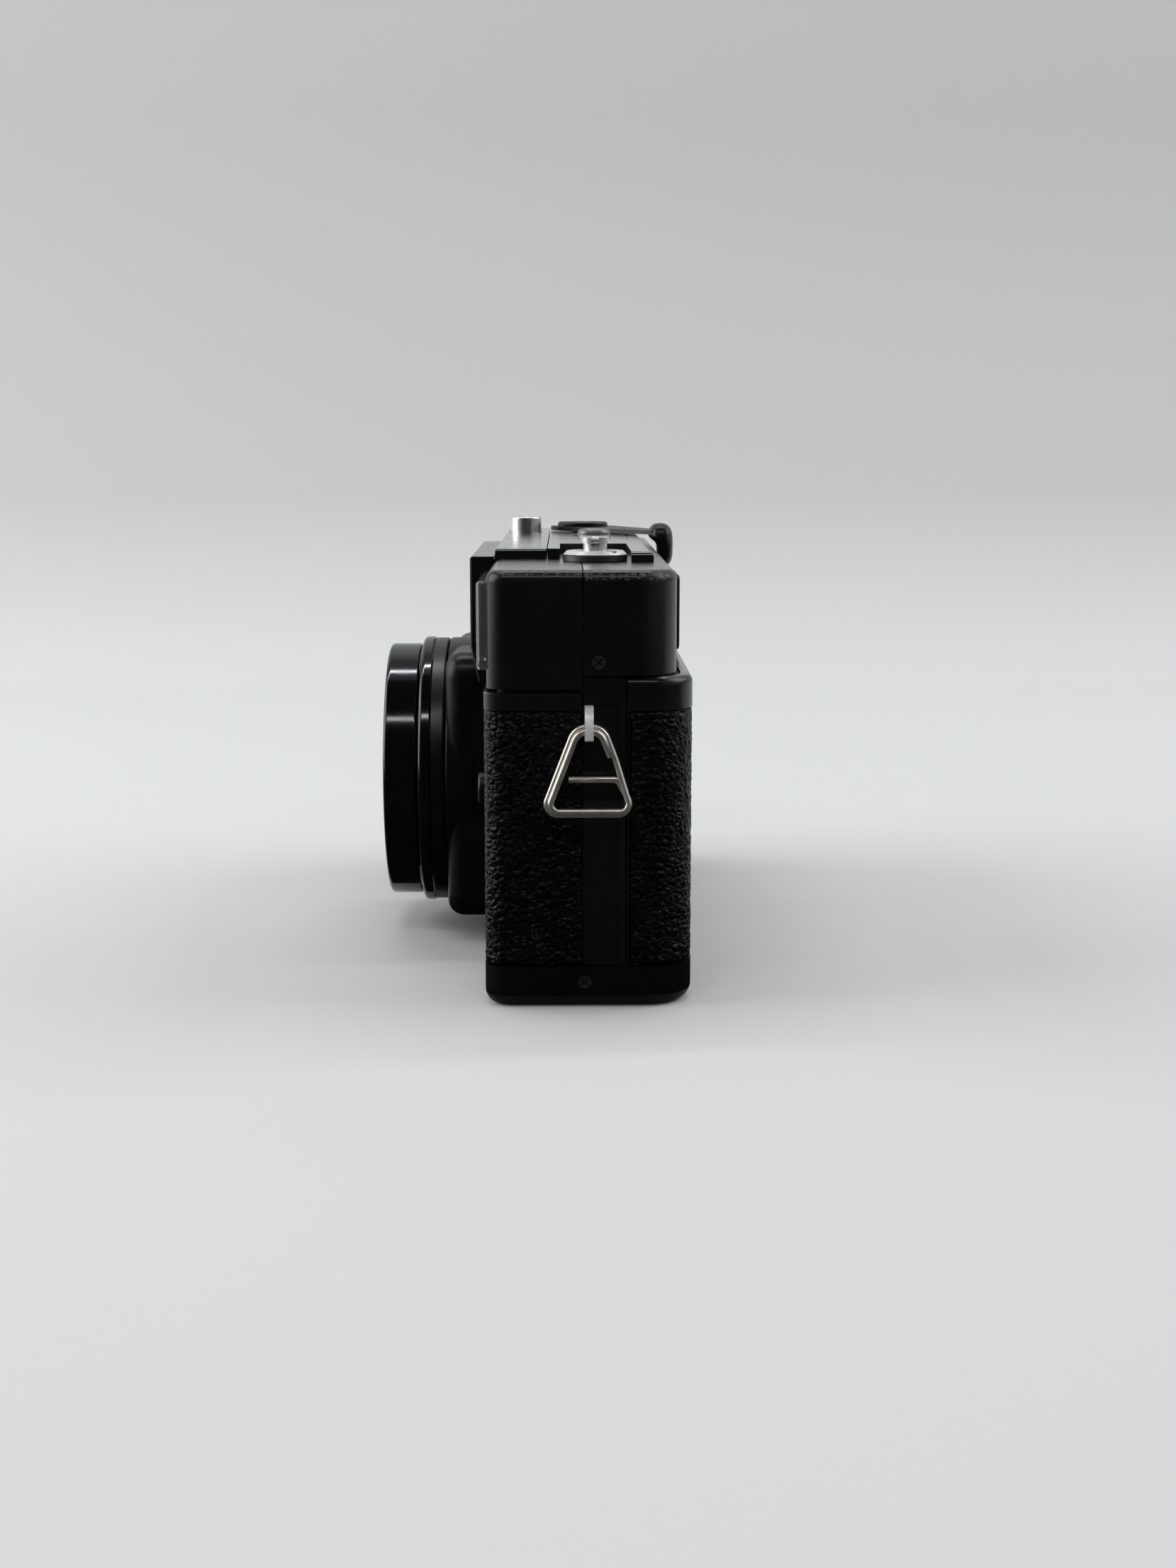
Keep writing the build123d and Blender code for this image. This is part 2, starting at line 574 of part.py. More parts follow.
def finder_block():
    """Housing of the finder and rangefinder windows, arched over the top of the lens housing."""
    side = Plane((FINDER_LEFT, 0, 0), x_dir=(0, 1, 0), z_dir=(1, 0, 0))
    solid = extrude(side * finder_profile(), FINDER_RIGHT - FINDER_LEFT)
    fronts = [e for e in solid.edges() if e.center().Y < FINDER_FRONT + FINDER_TAPER + 0.1]
    solid = fillet(fronts, SOFT_EDGE)
    roof = SHELF_TOP - COVER_WALL
    solid -= block(FINDER_LEFT + FINDER_WALL, FINDER_RIGHT - FINDER_WALL, FINDER_FRONT + 2 * FINDER_WALL,
                   STRIP_FRONT, FINDER_FLOOR, roof)
    half = HOUSING_HALF + SEAM
    solid -= block(-half, half, -BEYOND, FRONT, 0, LENS_AXIS + half)
    solid -= rounded_block(BEZEL_LEFT, BEZEL_RIGHT, FINDER_FRONT, FINDER_FRONT + BEZEL_THICK, BEZEL_LOW,
                           BEZEL_HIGH, SOFT_EDGE)
    for x, half_width, half_height in FINDER_WINDOWS:
        solid -= window_block(x, half_width - SEAM, half_height - SEAM, FINDER_FRONT, FINDER_FRONT + 2 * FINDER_WALL)
    return solid


FINDER_WINDOWS = [(VIEW_X, VIEW_HALF_WIDTH, VIEW_HALF_HEIGHT), (LIGHT_X, LIGHT_HALF_WIDTH, LIGHT_HALF_HEIGHT),
                  (RANGE_X, RANGE_HALF_WIDTH, RANGE_HALF_HEIGHT)]


def window_block(x, half_width, half_height, y_low, y_high):
    """Block behind one of the front windows."""
    return block(x - half_width, x + half_width, y_low, y_high, VIEW_Z - half_height, VIEW_Z + half_height)


def finder_bezel():
    """Black mask let into the finder block, with three window openings."""
    plate = rounded_block(BEZEL_LEFT + SEAT, BEZEL_RIGHT - SEAT, FINDER_FRONT + SEAT, FINDER_FRONT + BEZEL_THICK,
                          BEZEL_LOW + SEAT, BEZEL_HIGH - SEAT, SOFT_EDGE)
    for x, half_width, half_height in FINDER_WINDOWS:
        plate -= window_block(x, half_width, half_height, FINDER_FRONT, FINDER_FRONT + BEZEL_THICK)
    return plate


def front_window(index):
    """Pane set in the bezel."""
    x, half_width, half_height = FINDER_WINDOWS[index]
    y_back = FINDER_FRONT + BEZEL_THICK
    return window_block(x, half_width, half_height, y_back - WINDOW_THICK + SEAT, y_back)


def clear_windows():
    """Viewfinder pane and rangefinder pane."""
    return [front_window(0), front_window(2)]


def eyepiece_surround():
    """Raised frame round the eyepiece on the back of the top housing."""
    frame = block(VIEW_X - EYE_HALF_WIDTH, VIEW_X + EYE_HALF_WIDTH, TOP_BACK, EYE_BACK, EYE_LOW, EYE_HIGH)
    frame = fillet(frame.edges().filter_by(Axis.Y), 2 * SOFT_EDGE)
    frame = fillet(frame.faces().sort_by(Axis.Y)[-1].edges(), SOFT_EDGE)
    return frame - eyepiece_block(SOFT_EDGE, TOP_BACK, EYE_BACK, EYE_OPEN_HALF_WIDTH, EYE_OPEN_HALF_HEIGHT)


def eyepiece_lens():
    """Rectangular eye lens seated in the rear wall."""
    pane = eyepiece_block(0, TOP_BACK - COVER_WALL, TOP_BACK, EYE_OPEN_HALF_WIDTH, EYE_OPEN_HALF_HEIGHT)
    return pane


def beamsplitter():
    """Two glass wedges with a half mirror between them, behind the viewfinder pane."""
    glass = block(VIEW_X - SPLITTER_HALF, VIEW_X + SPLITTER_HALF, MIRROR_Y, STRIP_FRONT - SEAM,
                  FINDER_FLOOR, VIEW_Z + VIEW_HALF_HEIGHT)
    slit = Pos(VIEW_X, MIRROR_Y + SPLITTER_HALF, VIEW_Z) * Rot(0, 0, 45) * Box(SEAT, 20, 40)
    return list((glass - slit).solids())


def mirror_carrier():
    """Pivoting arm that carries the rangefinder mirror."""
    post = rod(RANGE_X, MIRROR_Y, FINDER_FLOOR + RUN, VIEW_Z - RANGE_HALF_HEIGHT, 1.4)
    seat = Pos(RANGE_X, MIRROR_Y, VIEW_Z) * Rot(0, 0, 45) * Box(7, 1.0, 2 * RANGE_HALF_HEIGHT)
    return post + seat


def rangefinder_mirror():
    """Front-silvered mirror cemented on its carrier."""
    return Pos(RANGE_X, MIRROR_Y, VIEW_Z) * Rot(0, 0, 45) * Pos(0, -0.8, 0) * Box(6, 0.6, 2 * RANGE_HALF_HEIGHT)


# ---------------------------------------------------------------- decks
def deck_region(x_low, x_high, y_low, y_high):
    """Flat plate of the raised deck with rounded rear corner and softened top edge."""
    inset = HALF_WIDTH + DECK_LEFT
    sheet = plan(inset, DECK_FRONT - inset, DECK_BACK + inset)
    region = block(x_low, x_high, y_low, y_high, SHELF_TOP, DECK_TOP)
    return prism(sheet, SHELF_TOP, DECK_TOP) & region


def soften_top(solid, radius, keep=lambda edge: True):
    """Round the top rim of a plate."""
    rim = solid.faces().sort_by(Axis.Z)[-1].edges()
    return fillet([e for e in rim if keep(e)], radius)


def crank_bay():
    """Bay cut in the deck for the rewind disc and crank."""
    return block(CRANK_BAY_X, DECK_HORN_X + 1, CARTRIDGE_Y - CRANK_BAY_HALF, CARTRIDGE_Y + CRANK_BAY_HALF,
                 SHELF_TOP, DECK_TOP)


def front_deck():
    """Deck strip in front of the long seam, in two plates."""
    plates = []
    for x_low, x_high in ((-BEYOND * 2, DECK_SEAM_X - SEAM / 2), (DECK_SEAM_X + SEAM / 2, FINDER_RIGHT)):
        plate = deck_region(x_low, x_high, -BEYOND, DECK_SEAM_Y - SEAM / 2)
        plates.append(soften_top(plate, SOFT_EDGE, lambda e: e.center().Y < DECK_SEAM_Y - 1
                                 and abs(e.center().X - DECK_SEAM_X) > 1))
    plates[0] -= rod(RELEASE_X, RELEASE_Y, SHELF_TOP, DECK_TOP, RELEASE_R + RUN)
    return plates


def wind_deck_sheet(grow=0.0):
    """Outline of the thin plate round the wind lever and counter."""
    width = WIND_DECK_RIGHT - WIND_DECK_LEFT + 2 * grow
    depth = WIND_DECK_BACK - DECK_SEAM_Y - SEAM / 2 + 2 * grow
    centre = Pos((WIND_DECK_LEFT + WIND_DECK_RIGHT) / 2, (WIND_DECK_BACK + DECK_SEAM_Y + SEAM / 2) / 2)
    return centre * RectangleRounded(width, depth, SOFT_EDGE)


def rear_deck():
    """Deck behind the long seam, with the crank bay and its horn behind the rewind disc."""
    plate = deck_region(-BEYOND * 2, FINDER_RIGHT, DECK_SEAM_Y + SEAM / 2, BEYOND)
    plate += block(FINDER_RIGHT - 1, DECK_HORN_X, CARTRIDGE_Y + CRANK_BAY_HALF, DECK_BACK, SHELF_TOP, DECK_TOP)
    plate -= crank_bay()
    plate = soften_top(plate, SOFT_EDGE * 1.6, lambda e: e.center().Y > DECK_BACK - 0.1
                       or e.center().X > DECK_HORN_X - 0.1 or e.center().X < DECK_LEFT + CORNER_BACK)
    plate -= prism(wind_deck_sheet(SEAT), DECK_TOP - WIND_DECK_THICK, DECK_TOP)
    plate -= rod(COUNTER_X - DIAL_OFFSET, COUNTER_Y, SHELF_TOP, DECK_TOP, DIAL_R + RUN)
    return plate - rod(WIND_X, WIND_Y, SHELF_TOP, DECK_TOP, LEVER_SHAFT_R + RUN)


def wind_deck():
    """Thin plate let into the rear deck, with the counter window and the lever's hole."""
    plate = prism(wind_deck_sheet(), DECK_TOP - WIND_DECK_THICK, DECK_TOP)
    plate -= rod(COUNTER_X, COUNTER_Y, SHELF_TOP, DECK_TOP, COUNTER_R)
    return plate - rod(WIND_X, WIND_Y, SHELF_TOP, DECK_TOP, LEVER_SHAFT_R + RUN)


def counter_window():
    """Clear lens over the frame counter."""
    return rod(COUNTER_X, COUNTER_Y, DECK_TOP - WIND_DECK_THICK, DECK_TOP, COUNTER_R)


def counter_dial():
    """Toothed dial of the frame counter under its window."""
    low = SHELF_TOP + RUN
    dial = rod(COUNTER_X - DIAL_OFFSET, COUNTER_Y, low, low + 0.7, DIAL_R - RUN)
    for i in range(DIAL_TEETH):
        notch = Rot(0, 0, i * 360 / DIAL_TEETH) * Pos(DIAL_R - RUN, 0, 0) * Box(2 * RUN, 0.5, 2 * DIAL_R)
        dial -= Pos(COUNTER_X - DIAL_OFFSET, COUNTER_Y, low) * notch
    return dial


# ---------------------------------------------------------------- flash
def flash_window():
    """Ribbed clear window of the flash that stands proud of its housing."""
    pane = block(FLASH_LEFT + SEAT, FLASH_RIGHT - SEAT, FLASH_FRONT, FLASH_SEAT, FLASH_LOW + SEAT, FLASH_HIGH - SEAT)
    pane = fillet(pane.edges().filter_by(Axis.Y) + pane.faces().sort_by(Axis.Y)[0].edges(), SOFT_EDGE)
    ribs = int((FLASH_RIGHT - FLASH_LEFT) / FLASH_RIB)
    start = (FLASH_LEFT + FLASH_RIGHT - (ribs - 1) * FLASH_RIB) / 2
    groove_z = (FLASH_LOW + SOFT_EDGE, FLASH_HIGH - SOFT_EDGE)
    for i in range(ribs):
        pane -= rod(start + i * FLASH_RIB, FLASH_SEAT, *groove_z, FLASH_RIB * 0.35)
    return pane


def flash_reflector():
    """Bright trough behind the flash window."""
    z_mid = (FLASH_LOW + FLASH_HIGH) / 2
    half = (FLASH_HIGH - FLASH_LOW) / 2 - 0.6
    outer = make_face(Polyline((FLASH_SEAT, z_mid - half), (FLASH_SEAT, z_mid + half),
                               (FLASH_SEAT + REFLECTOR_DEPTH, z_mid + TUBE_R + 1),
                               (FLASH_SEAT + REFLECTOR_DEPTH, z_mid - TUBE_R - 1), close=True))
    wall = 0.5
    inner = make_face(Polyline((FLASH_SEAT, z_mid - half + wall), (FLASH_SEAT, z_mid + half - wall),
                               (FLASH_SEAT + REFLECTOR_DEPTH - wall, z_mid + TUBE_R + 1 - wall),
                               (FLASH_SEAT + REFLECTOR_DEPTH - wall, z_mid - TUBE_R - 1 + wall), close=True))
    side = Plane((FLASH_LEFT + 0.6, 0, 0), x_dir=(0, 1, 0), z_dir=(1, 0, 0))
    length = FLASH_RIGHT - FLASH_LEFT - 1.2
    trough = extrude(side * outer, length)
    return trough - Pos(wall, 0, 0) * extrude(side * inner, length - 2 * wall)


def flash_capacitor():
    """Storage capacitor of the flash, lying under the shutter release."""
    y = TOP_FRONT + COVER_WALL + CAPACITOR_R + SEAT
    z = CHASSIS_TOP + SEAT + CAPACITOR_R
    return rod_x(y, z, -HALF_WIDTH + CORNER_FRONT, FINDER_LEFT - 3 * COVER_WALL, CAPACITOR_R)


def flash_battery():
    """Penlight cell that feeds the flash, with its contact cap."""
    cell = rod(BATTERY_X, BATTERY_Y, BATTERY_LOW, BATTERY_LOW + BATTERY_LENGTH - 1.2, BATTERY_R)
    return cell + rod(BATTERY_X, BATTERY_Y, BATTERY_LOW, BATTERY_LOW + BATTERY_LENGTH, 2.7)


def battery_hatch():
    """Hatch in the base under the cell, with a rounded hinge edge and a finger notch."""
    plate = block(HATCH_LEFT + HATCH_THICK / 2, HATCH_RIGHT, HATCH_FRONT, HATCH_BACK, 0, HATCH_THICK)
    plate += rod_y(HATCH_LEFT + HATCH_THICK / 2, HATCH_THICK / 2, HATCH_FRONT, HATCH_BACK, HATCH_THICK / 2)
    y_mid = (HATCH_FRONT + HATCH_BACK) / 2
    for i in range(4):
        plate -= block(HATCH_RIGHT - 4.2 + i * 0.9, HATCH_RIGHT - 3.8 + i * 0.9, y_mid - 4, y_mid + 4, 0, 0.3)
    return plate


# ================================================================ lens
def lens_housing():
    """Rounded square housing of the lens on the front cover, bored for the sleeve."""
    solid = block(-HOUSING_HALF, HOUSING_HALF, HOUSING_FRONT, FRONT - SEAM, LENS_AXIS - HOUSING_HALF,
                  LENS_AXIS + HOUSING_HALF)
    solid = fillet(solid.edges().filter_by(Axis.Y), HOUSING_CORNER)
    solid = fillet(solid.faces().sort_by(Axis.Y)[0].edges(), HOUSING_EDGE)
    solid += housing_foot()
    return solid - lens_disc(-BEYOND, 0, SLEEVE_R)


def lens_sleeve():
    """Fixed sleeve that carries the focusing ring and guides the lens tube."""
    back = FRONT + CHASSIS_INSET
    return lens_ring(SLEEVE_FRONT, back, SLEEVE_R, SLEEVE_BORE)


def focus_ring():
    """Focusing ring with a slightly wider front lip, turning on the sleeve."""
    bore = SLEEVE_R + SHAFT_PLAY
    back = HOUSING_FRONT - RUN
    lip_back = FOCUS_FRONT + FOCUS_LIP
    ring = lens_turn([(bore, back), (FOCUS_R, back), (FOCUS_R, lip_back), (FOCUS_LIP_R, lip_back),
                      (FOCUS_LIP_R, FOCUS_FRONT + 0.2), (FOCUS_LIP_R - 0.2, FOCUS_FRONT), (bore, FOCUS_FRONT)])
    return ring


def lens_barrel():
    """Sliding barrel: tube that holds the lens cells, and front ring with the filter thread's bore."""
    lip = 0.6
    seat = RING_FRONT + FILTER_DEPTH
    return lens_turn([(LENS_TUBE_BORE, LENS_TUBE_BACK), (LENS_TUBE_R, LENS_TUBE_BACK), (LENS_TUBE_R, RING_BACK),
                      (RING_R - 0.8, RING_BACK), (RING_R, RING_BACK - 0.8), (RING_R, RING_FRONT + lip),
                      (RING_R - lip, RING_FRONT), (FILTER_R, RING_FRONT), (FILTER_R, seat),
                      (LENS_TUBE_R, seat), (LENS_TUBE_R, NAME_RING_BACK), (LENS_TUBE_BORE, NAME_RING_BACK)])


def front_cone():
    """Plain conical ring between the filter thread's seat and the front glass."""
    seat = RING_FRONT + FILTER_DEPTH
    outer = LENS_TUBE_R - SEAT
    return lens_turn([(outer, seat), (outer - RUN, seat), (FRONT_GLASS_R + 0.8, NAME_RING_BACK - 2 * RUN),
                      (FRONT_GLASS_R + 0.8, NAME_RING_BACK), (outer, NAME_RING_BACK)])


def front_lens():
    """Front glass with a domed face, seated in the barrel behind the cone."""
    back = NAME_RING_BACK + GLASS_DEPTH
    ball = Pos(0, NAME_RING_BACK - DOME_RISE + DOME_R, LENS_AXIS) * Sphere(DOME_R)
    dome = lens_disc(NAME_RING_BACK - DOME_RISE - 1, back, FRONT_GLASS_R) & ball
    return dome + lens_disc(NAME_RING_BACK, back, LENS_TUBE_BORE)


def rear_lens():
    """Rear glass cell behind the shutter, screwed into its base plate."""
    return lens_disc(SHUTTER_BACK, SHUTTER_BACK + GLASS_DEPTH, REAR_GLASS_R)


def shutter_case():
    """Two plates and a rim that hold the shutter blades, with their pivot."""
    rim = lens_ring(SHUTTER_FRONT, SHUTTER_BACK, SLEEVE_BORE, SLEEVE_BORE - 0.7)
    plates = [lens_ring(y, y + SHUTTER_PLATE, SLEEVE_BORE - 0.5, APERTURE_R)
              for y in (SHUTTER_FRONT, SHUTTER_BACK - SHUTTER_PLATE)]
    pin = rod_y(0, LENS_AXIS + BLADE_PIVOT, SHUTTER_FRONT + SHUTTER_PLATE / 2, SHUTTER_BACK - SHUTTER_PLATE / 2,
                PIVOT_R)
    return rim + plates[0] + plates[1] + pin


def shutter_blade(side):
    """Sector blade swinging about the pivot; the pair closes the aperture between its plates."""
    y = BLADE_Y if side < 0 else BLADE_Y + BLADE_STEP
    start = -BLADE_LAP if side > 0 else BLADE_LAP - BLADE_SECTOR
    arc = [(BLADE_REACH * sin(radians(start + a)), BLADE_REACH * cos(radians(start + a)))
           for a in (0, BLADE_SECTOR / 2, BLADE_SECTOR)]
    outline = Polyline((0, 0), arc[0]) + ThreePointArc(*arc) + Polyline(arc[2], (0, 0))
    face = make_face(outline)
    front = Plane((0, y, LENS_AXIS + BLADE_PIVOT), x_dir=(1, 0, 0), z_dir=(0, 1, 0))
    blade = extrude(front * face, BLADE_THICK)
    pivot_z = LENS_AXIS + BLADE_PIVOT
    blade += rod_y(0, pivot_z, y, y + BLADE_THICK, 4 * PIVOT_R)
    return blade - rod_y(0, pivot_z, y - 1, y + 1, PIVOT_R + SHAFT_PLAY)


# ================================================================ controls
def release_button():
    """Shutter release: a turned button with a dished top, and its stem."""
    low = SHELF_TOP - COVER_WALL + SEAT
    button = rod(RELEASE_X, RELEASE_Y, DECK_TOP - RELEASE_TRAVEL, RELEASE_TOP, RELEASE_R)
    button = chamfer(button.edges().filter_by(GeomType.CIRCLE).sort_by(Axis.Z)[-1:], 0.35)
    button -= Pos(RELEASE_X, RELEASE_Y, RELEASE_TOP + DISH_R - 0.45) * Sphere(DISH_R)
    return button + rod(RELEASE_X, RELEASE_Y, low - 3.2, RELEASE_TOP - 2, 1.2)


def front_button():
    """Round push button on the front, with a rounded rim."""
    front = FRONT - BUTTON_PROUD
    button = rod_y(BUTTON_X, BUTTON_Z, front, front + BUTTON_LENGTH, BUTTON_R)
    return fillet(button.edges().filter_by(GeomType.CIRCLE).sort_by(Axis.Y)[:1], SOFT_EDGE)


def unlock_button():
    """Rewind unlock button in the base, flush with the base's sunk seat."""
    return rod(SPROCKET_X, SPROCKET_Y, SEAM, BASE_FLOOR + 1.2, UNLOCK_R)


def lever_arm():
    """Wind lever plate from its round hub out to the thumb tip, with the shaft below."""
    hub = Pos(WIND_X, WIND_Y) * Circle(LEVER_HUB_R)
    root = Pos(TIP_LEFT + TIP_LENGTH / 2, TIP_FRONT - 0.5) * Rectangle(TIP_LENGTH - 2.4, 1.0)
    sheet = make_hull(hub.edges() + root.edges())
    plate = prism(sheet, LEVER_LOW, LEVER_LOW + LEVER_THICK)
    return plate + rod(WIND_X, WIND_Y, CHASSIS_TOP + SEAM, LEVER_LOW, LEVER_SHAFT_R)


def lever_cap():
    """Disc that covers the lever's hub."""
    low = LEVER_LOW + LEVER_THICK
    cap = rod(WIND_X, WIND_Y, low, low + LEVER_CAP_THICK, LEVER_CAP_R)
    return fillet(cap.edges().filter_by(GeomType.CIRCLE).sort_by(Axis.Z)[-1:], LEVER_CAP_THICK / 2)


def lever_tip():
    """Moulded thumb tip hanging behind the top housing."""
    tip = block(TIP_LEFT, TIP_LEFT + TIP_LENGTH, TIP_FRONT, TIP_FRONT + TIP_THICK, TIP_LOW, TIP_HIGH)
    return fillet(tip.edges(), TIP_ROUND)


def takeup_spool():
    """Take-up spool with flanges, film slots and its drive shaft."""
    low = FILM_SPACE_LOW + SEAM
    high = FILM_SPACE_HIGH - SEAM
    spool = rod(WIND_X, WIND_Y, low, high, SPOOL_R)
    for z in (low, high - 1.2):
        spool += rod(WIND_X, WIND_Y, z, z + 1.2, SPOOL_R + 2.2)
    for i in range(SPOOL_SLOTS):
        slot = Rot(0, 0, i * 360 / SPOOL_SLOTS) * Pos(SPOOL_R, 0, 0) * Box(3.0, 1.6, FILM_WIDTH - 4)
        spool -= Pos(WIND_X, WIND_Y, LENS_AXIS) * slot
    return spool + rod(WIND_X, WIND_Y, CHASSIS_BOTTOM + SEAM, CHASSIS_TOP, SPOOL_SHAFT_R)


def film_sprocket():
    """Two toothed rims on one shaft that meter the film by its perforations."""
    shaft = rod(SPROCKET_X, SPROCKET_Y, FILM_SPACE_LOW + SEAM, FILM_SPACE_HIGH - SEAM, SPROCKET_R * 0.72)
    shaft += rod(SPROCKET_X, SPROCKET_Y, CHASSIS_BOTTOM + SEAM, CHASSIS_TOP, SPOOL_SHAFT_R)
    for side in (-1, 1):
        rim_z = LENS_AXIS + side * (FILM_WIDTH / 2 - 3)
        shaft += rod(SPROCKET_X, SPROCKET_Y, rim_z - 2.4, rim_z + 2.4, SPROCKET_R)
        for i in range(SPROCKET_TEETH):
            tooth = Rot(0, 0, i * 360 / SPROCKET_TEETH) * Pos(SPROCKET_R + TOOTH / 2 - 0.2, 0, 0)
            shaft += Pos(SPROCKET_X, SPROCKET_Y, rim_z) * tooth * Box(TOOTH + 0.4, 1.2, 1.9)
    return shaft


# ---------------------------------------------------------------- rewind
def back_latch():
    """Latch plate lifted by the rewind shaft, with its limb down to the door's edge."""
    arm = block(CARTRIDGE_X - 1.5 * FORK_R, LATCH_LEG_X + LATCH_THICK, CARTRIDGE_Y - LATCH_HALF_WIDTH,
                CARTRIDGE_Y + LATCH_HALF_WIDTH, LATCH_Z, LATCH_Z + LATCH_THICK)
    arm = fillet(arm.edges().filter_by(Axis.Z).sort_by(Axis.X)[:2], LATCH_HALF_WIDTH * 0.9)
    arm += latch_leg()
    return arm - rod(CARTRIDGE_X, CARTRIDGE_Y, 0, DECK_TOP, REWIND_SHAFT_R + SHAFT_PLAY)


def rewind_shaft():
    """Rewind shaft: fork for the cartridge below, collar over the latch, slotted post with its pin above."""
    x, y = CARTRIDGE_X, CARTRIDGE_Y
    shaft = rod(x, y, ROOF_ROOM - SEAM, CHASSIS_TOP + 1, FORK_R)
    shaft += block(x - 0.6, x + 0.6, y - FORK_R + 0.3, y + FORK_R - 0.3, FORK_LOW, ROOF_ROOM)
    shaft += rod(x, y, CHASSIS_TOP, POST_CAP_LOW, REWIND_SHAFT_R)
    collar_low = LATCH_Z + LATCH_THICK + SEAT
    shaft += rod(x, y, collar_low, collar_low + 1.2, FORK_R)
    shaft += rod(x, y, DISC_LOW + DISC_THICK, POST_CAP_LOW, POST_R)
    shaft += rod(x, y, POST_CAP_LOW, POST_TOP, POST_CAP_R)
    shaft -= block(x - BEYOND, x + BEYOND, y - CRANK_TONGUE / 2 - SEAT, y + CRANK_TONGUE / 2 + SEAT,
                   CRANK_AXIS_Z - TONGUE_R - SEAT, DECK_TOP * 2)
    pin_half = POST_CAP_R - 0.3
    return shaft + rod_y(x, CRANK_AXIS_Z, y - pin_half, y + pin_half, CRANK_PIN_R)


def rewind_disc():
    """Bevelled disc under the crank with a small notch in its rim."""
    x, y = CARTRIDGE_X, CARTRIDGE_Y
    disc = rod(x, y, DISC_LOW, DISC_LOW + DISC_THICK, DISC_R)
    disc = chamfer(disc.edges().filter_by(GeomType.CIRCLE).sort_by(Axis.Z)[-1:], DISC_BEVEL)
    notch = block(x + DISC_R * 0.45, x + DISC_R * 0.75, y + DISC_R * 0.35, y + DISC_R * 0.65,
                  DISC_LOW + DISC_THICK - 0.4, DISC_LOW + DISC_THICK)
    return disc - notch - rod(x, y, DISC_LOW, DISC_LOW + DISC_THICK, REWIND_SHAFT_R)


def crank_arm():
    """Folding crank: a narrow tongue in the post and a waisted plate out to the grip."""
    x, y = CARTRIDGE_X, CARTRIDGE_Y
    low = CRANK_AXIS_Z - CRANK_THICK / 2
    near = POST_CAP_R + 0.35
    tongue = rod_y(x, CRANK_AXIS_Z, y - CRANK_TONGUE / 2, y + CRANK_TONGUE / 2, TONGUE_R)
    tongue += block(x - near - 0.5, x, y - CRANK_TONGUE / 2, y + CRANK_TONGUE / 2, low, low + CRANK_THICK)
    sheet = make_hull((Pos(x - CRANK_LENGTH, y) * Circle(CRANK_HALF_WIDTH + 0.3)).edges()
                      + (Pos(x - near - 0.5, y) * Rectangle(1.0, 2 * CRANK_HALF_WIDTH)).edges())
    arm = prism(sheet, low, low + CRANK_THICK) + tongue
    return arm - rod_y(x, CRANK_AXIS_Z, y - BEYOND, y + BEYOND, CRANK_PIN_R + SHAFT_PLAY)


def crank_grip():
    """Domed grip that caps the end of the crank."""
    low = CRANK_AXIS_Z - CRANK_THICK / 2
    grip = rod(CARTRIDGE_X - CRANK_LENGTH, CARTRIDGE_Y, low, low + GRIP_HEIGHT, GRIP_R)
    grip = fillet(grip.edges().filter_by(GeomType.CIRCLE).sort_by(Axis.Z)[-1:], GRIP_HEIGHT * 0.4)
    return grip - crank_arm()


# ================================================================ door
def film_door():
    """Hinged back: rear wall wrapped round the rewind end, smooth upper rim and hinge knuckles."""
    low = BASE_TOP + SEAM
    region = block(HINGE_X, BEYOND * 2, STRIP_BACK + RUN, BEYOND, low, DOOR_TOP)
    door = prism(plan(), low, DOOR_TOP)
    rim = door.faces().sort_by(Axis.Z)[-1].edges()
    door = fillet(rim, DOOR_EDGE) & region
    door -= prism(plan(DOOR_WALL), 0, DECK_TOP)
    field = prism(plan(), low, LEATHER_TOP) - prism(plan(LEATHER), 0, DECK_TOP)
    door -= field & leather_region(0)
    for low_z, high_z in FIXED_KNUCKLES:
        door -= rod(HINGE_X, HINGE_Y, low_z - RUN, high_z + RUN, KNUCKLE_R + RUN)
    for low_z, high_z in DOOR_KNUCKLES:
        door += rod(HINGE_X, HINGE_Y, low_z, high_z, KNUCKLE_R)
    return door - rod(HINGE_X, HINGE_Y, 0, DECK_TOP, HINGE_PIN_R + SHAFT_PLAY)


def leather_region(gap):
    """Where the door's covering lies."""
    return block(HINGE_X + 2 * KNUCKLE_R + gap, BEYOND * 2, STRIP_BACK + 2 * RUN + gap, BEYOND,
                 BASE_TOP + SEAM + gap, LEATHER_TOP - gap)


def door_leatherette():
    """Grained covering of the door, wrapped round its rewind end."""
    skin = prism(plan(), BASE_TOP, LEATHER_TOP) - prism(plan(LEATHER), 0, DECK_TOP)
    return skin & leather_region(SEAM / 4)


def pressure_plate():
    """Flat plate that holds the film against the rails."""
    y = RAIL + 2 * RAIL_STEP + RUN
    half = FILM_WIDTH / 2
    plate = rounded_block(-GATE_WIDTH * 0.7, GATE_WIDTH * 0.7, y, y + PLATE_THICK, LENS_AXIS - half,
                          LENS_AXIS + half, 1.5)
    return plate


def plate_spring():
    """Bowed leaf spring between the pressure plate and the door."""
    y_plate = RAIL + 2 * RAIL_STEP + RUN + PLATE_THICK
    y_door = BACK - DOOR_WALL
    half = GATE_WIDTH / 2
    bow = ThreePointArc((-half, y_door - LEAF / 2), (0, y_plate + LEAF / 2), (half, y_door - LEAF / 2))
    strip = make_face(offset(bow, LEAF / 2, side=Side.BOTH))
    return Pos(0, 0, LENS_AXIS - SPRING_WIDTH / 2) * extrude(strip, SPRING_WIDTH)


# ================================================================ small parts
def tripod_bush():
    """Flanged bush with the tripod thread's bore."""
    bush = rod(0, 0, 0, BASE_FLOOR, BUSH_R) + rod(0, 0, BASE_FLOOR, BUSH_HEIGHT, BUSH_R - 1)
    return bush - rod(0, 0, 0, BUSH_DEPTH, BUSH_BORE)


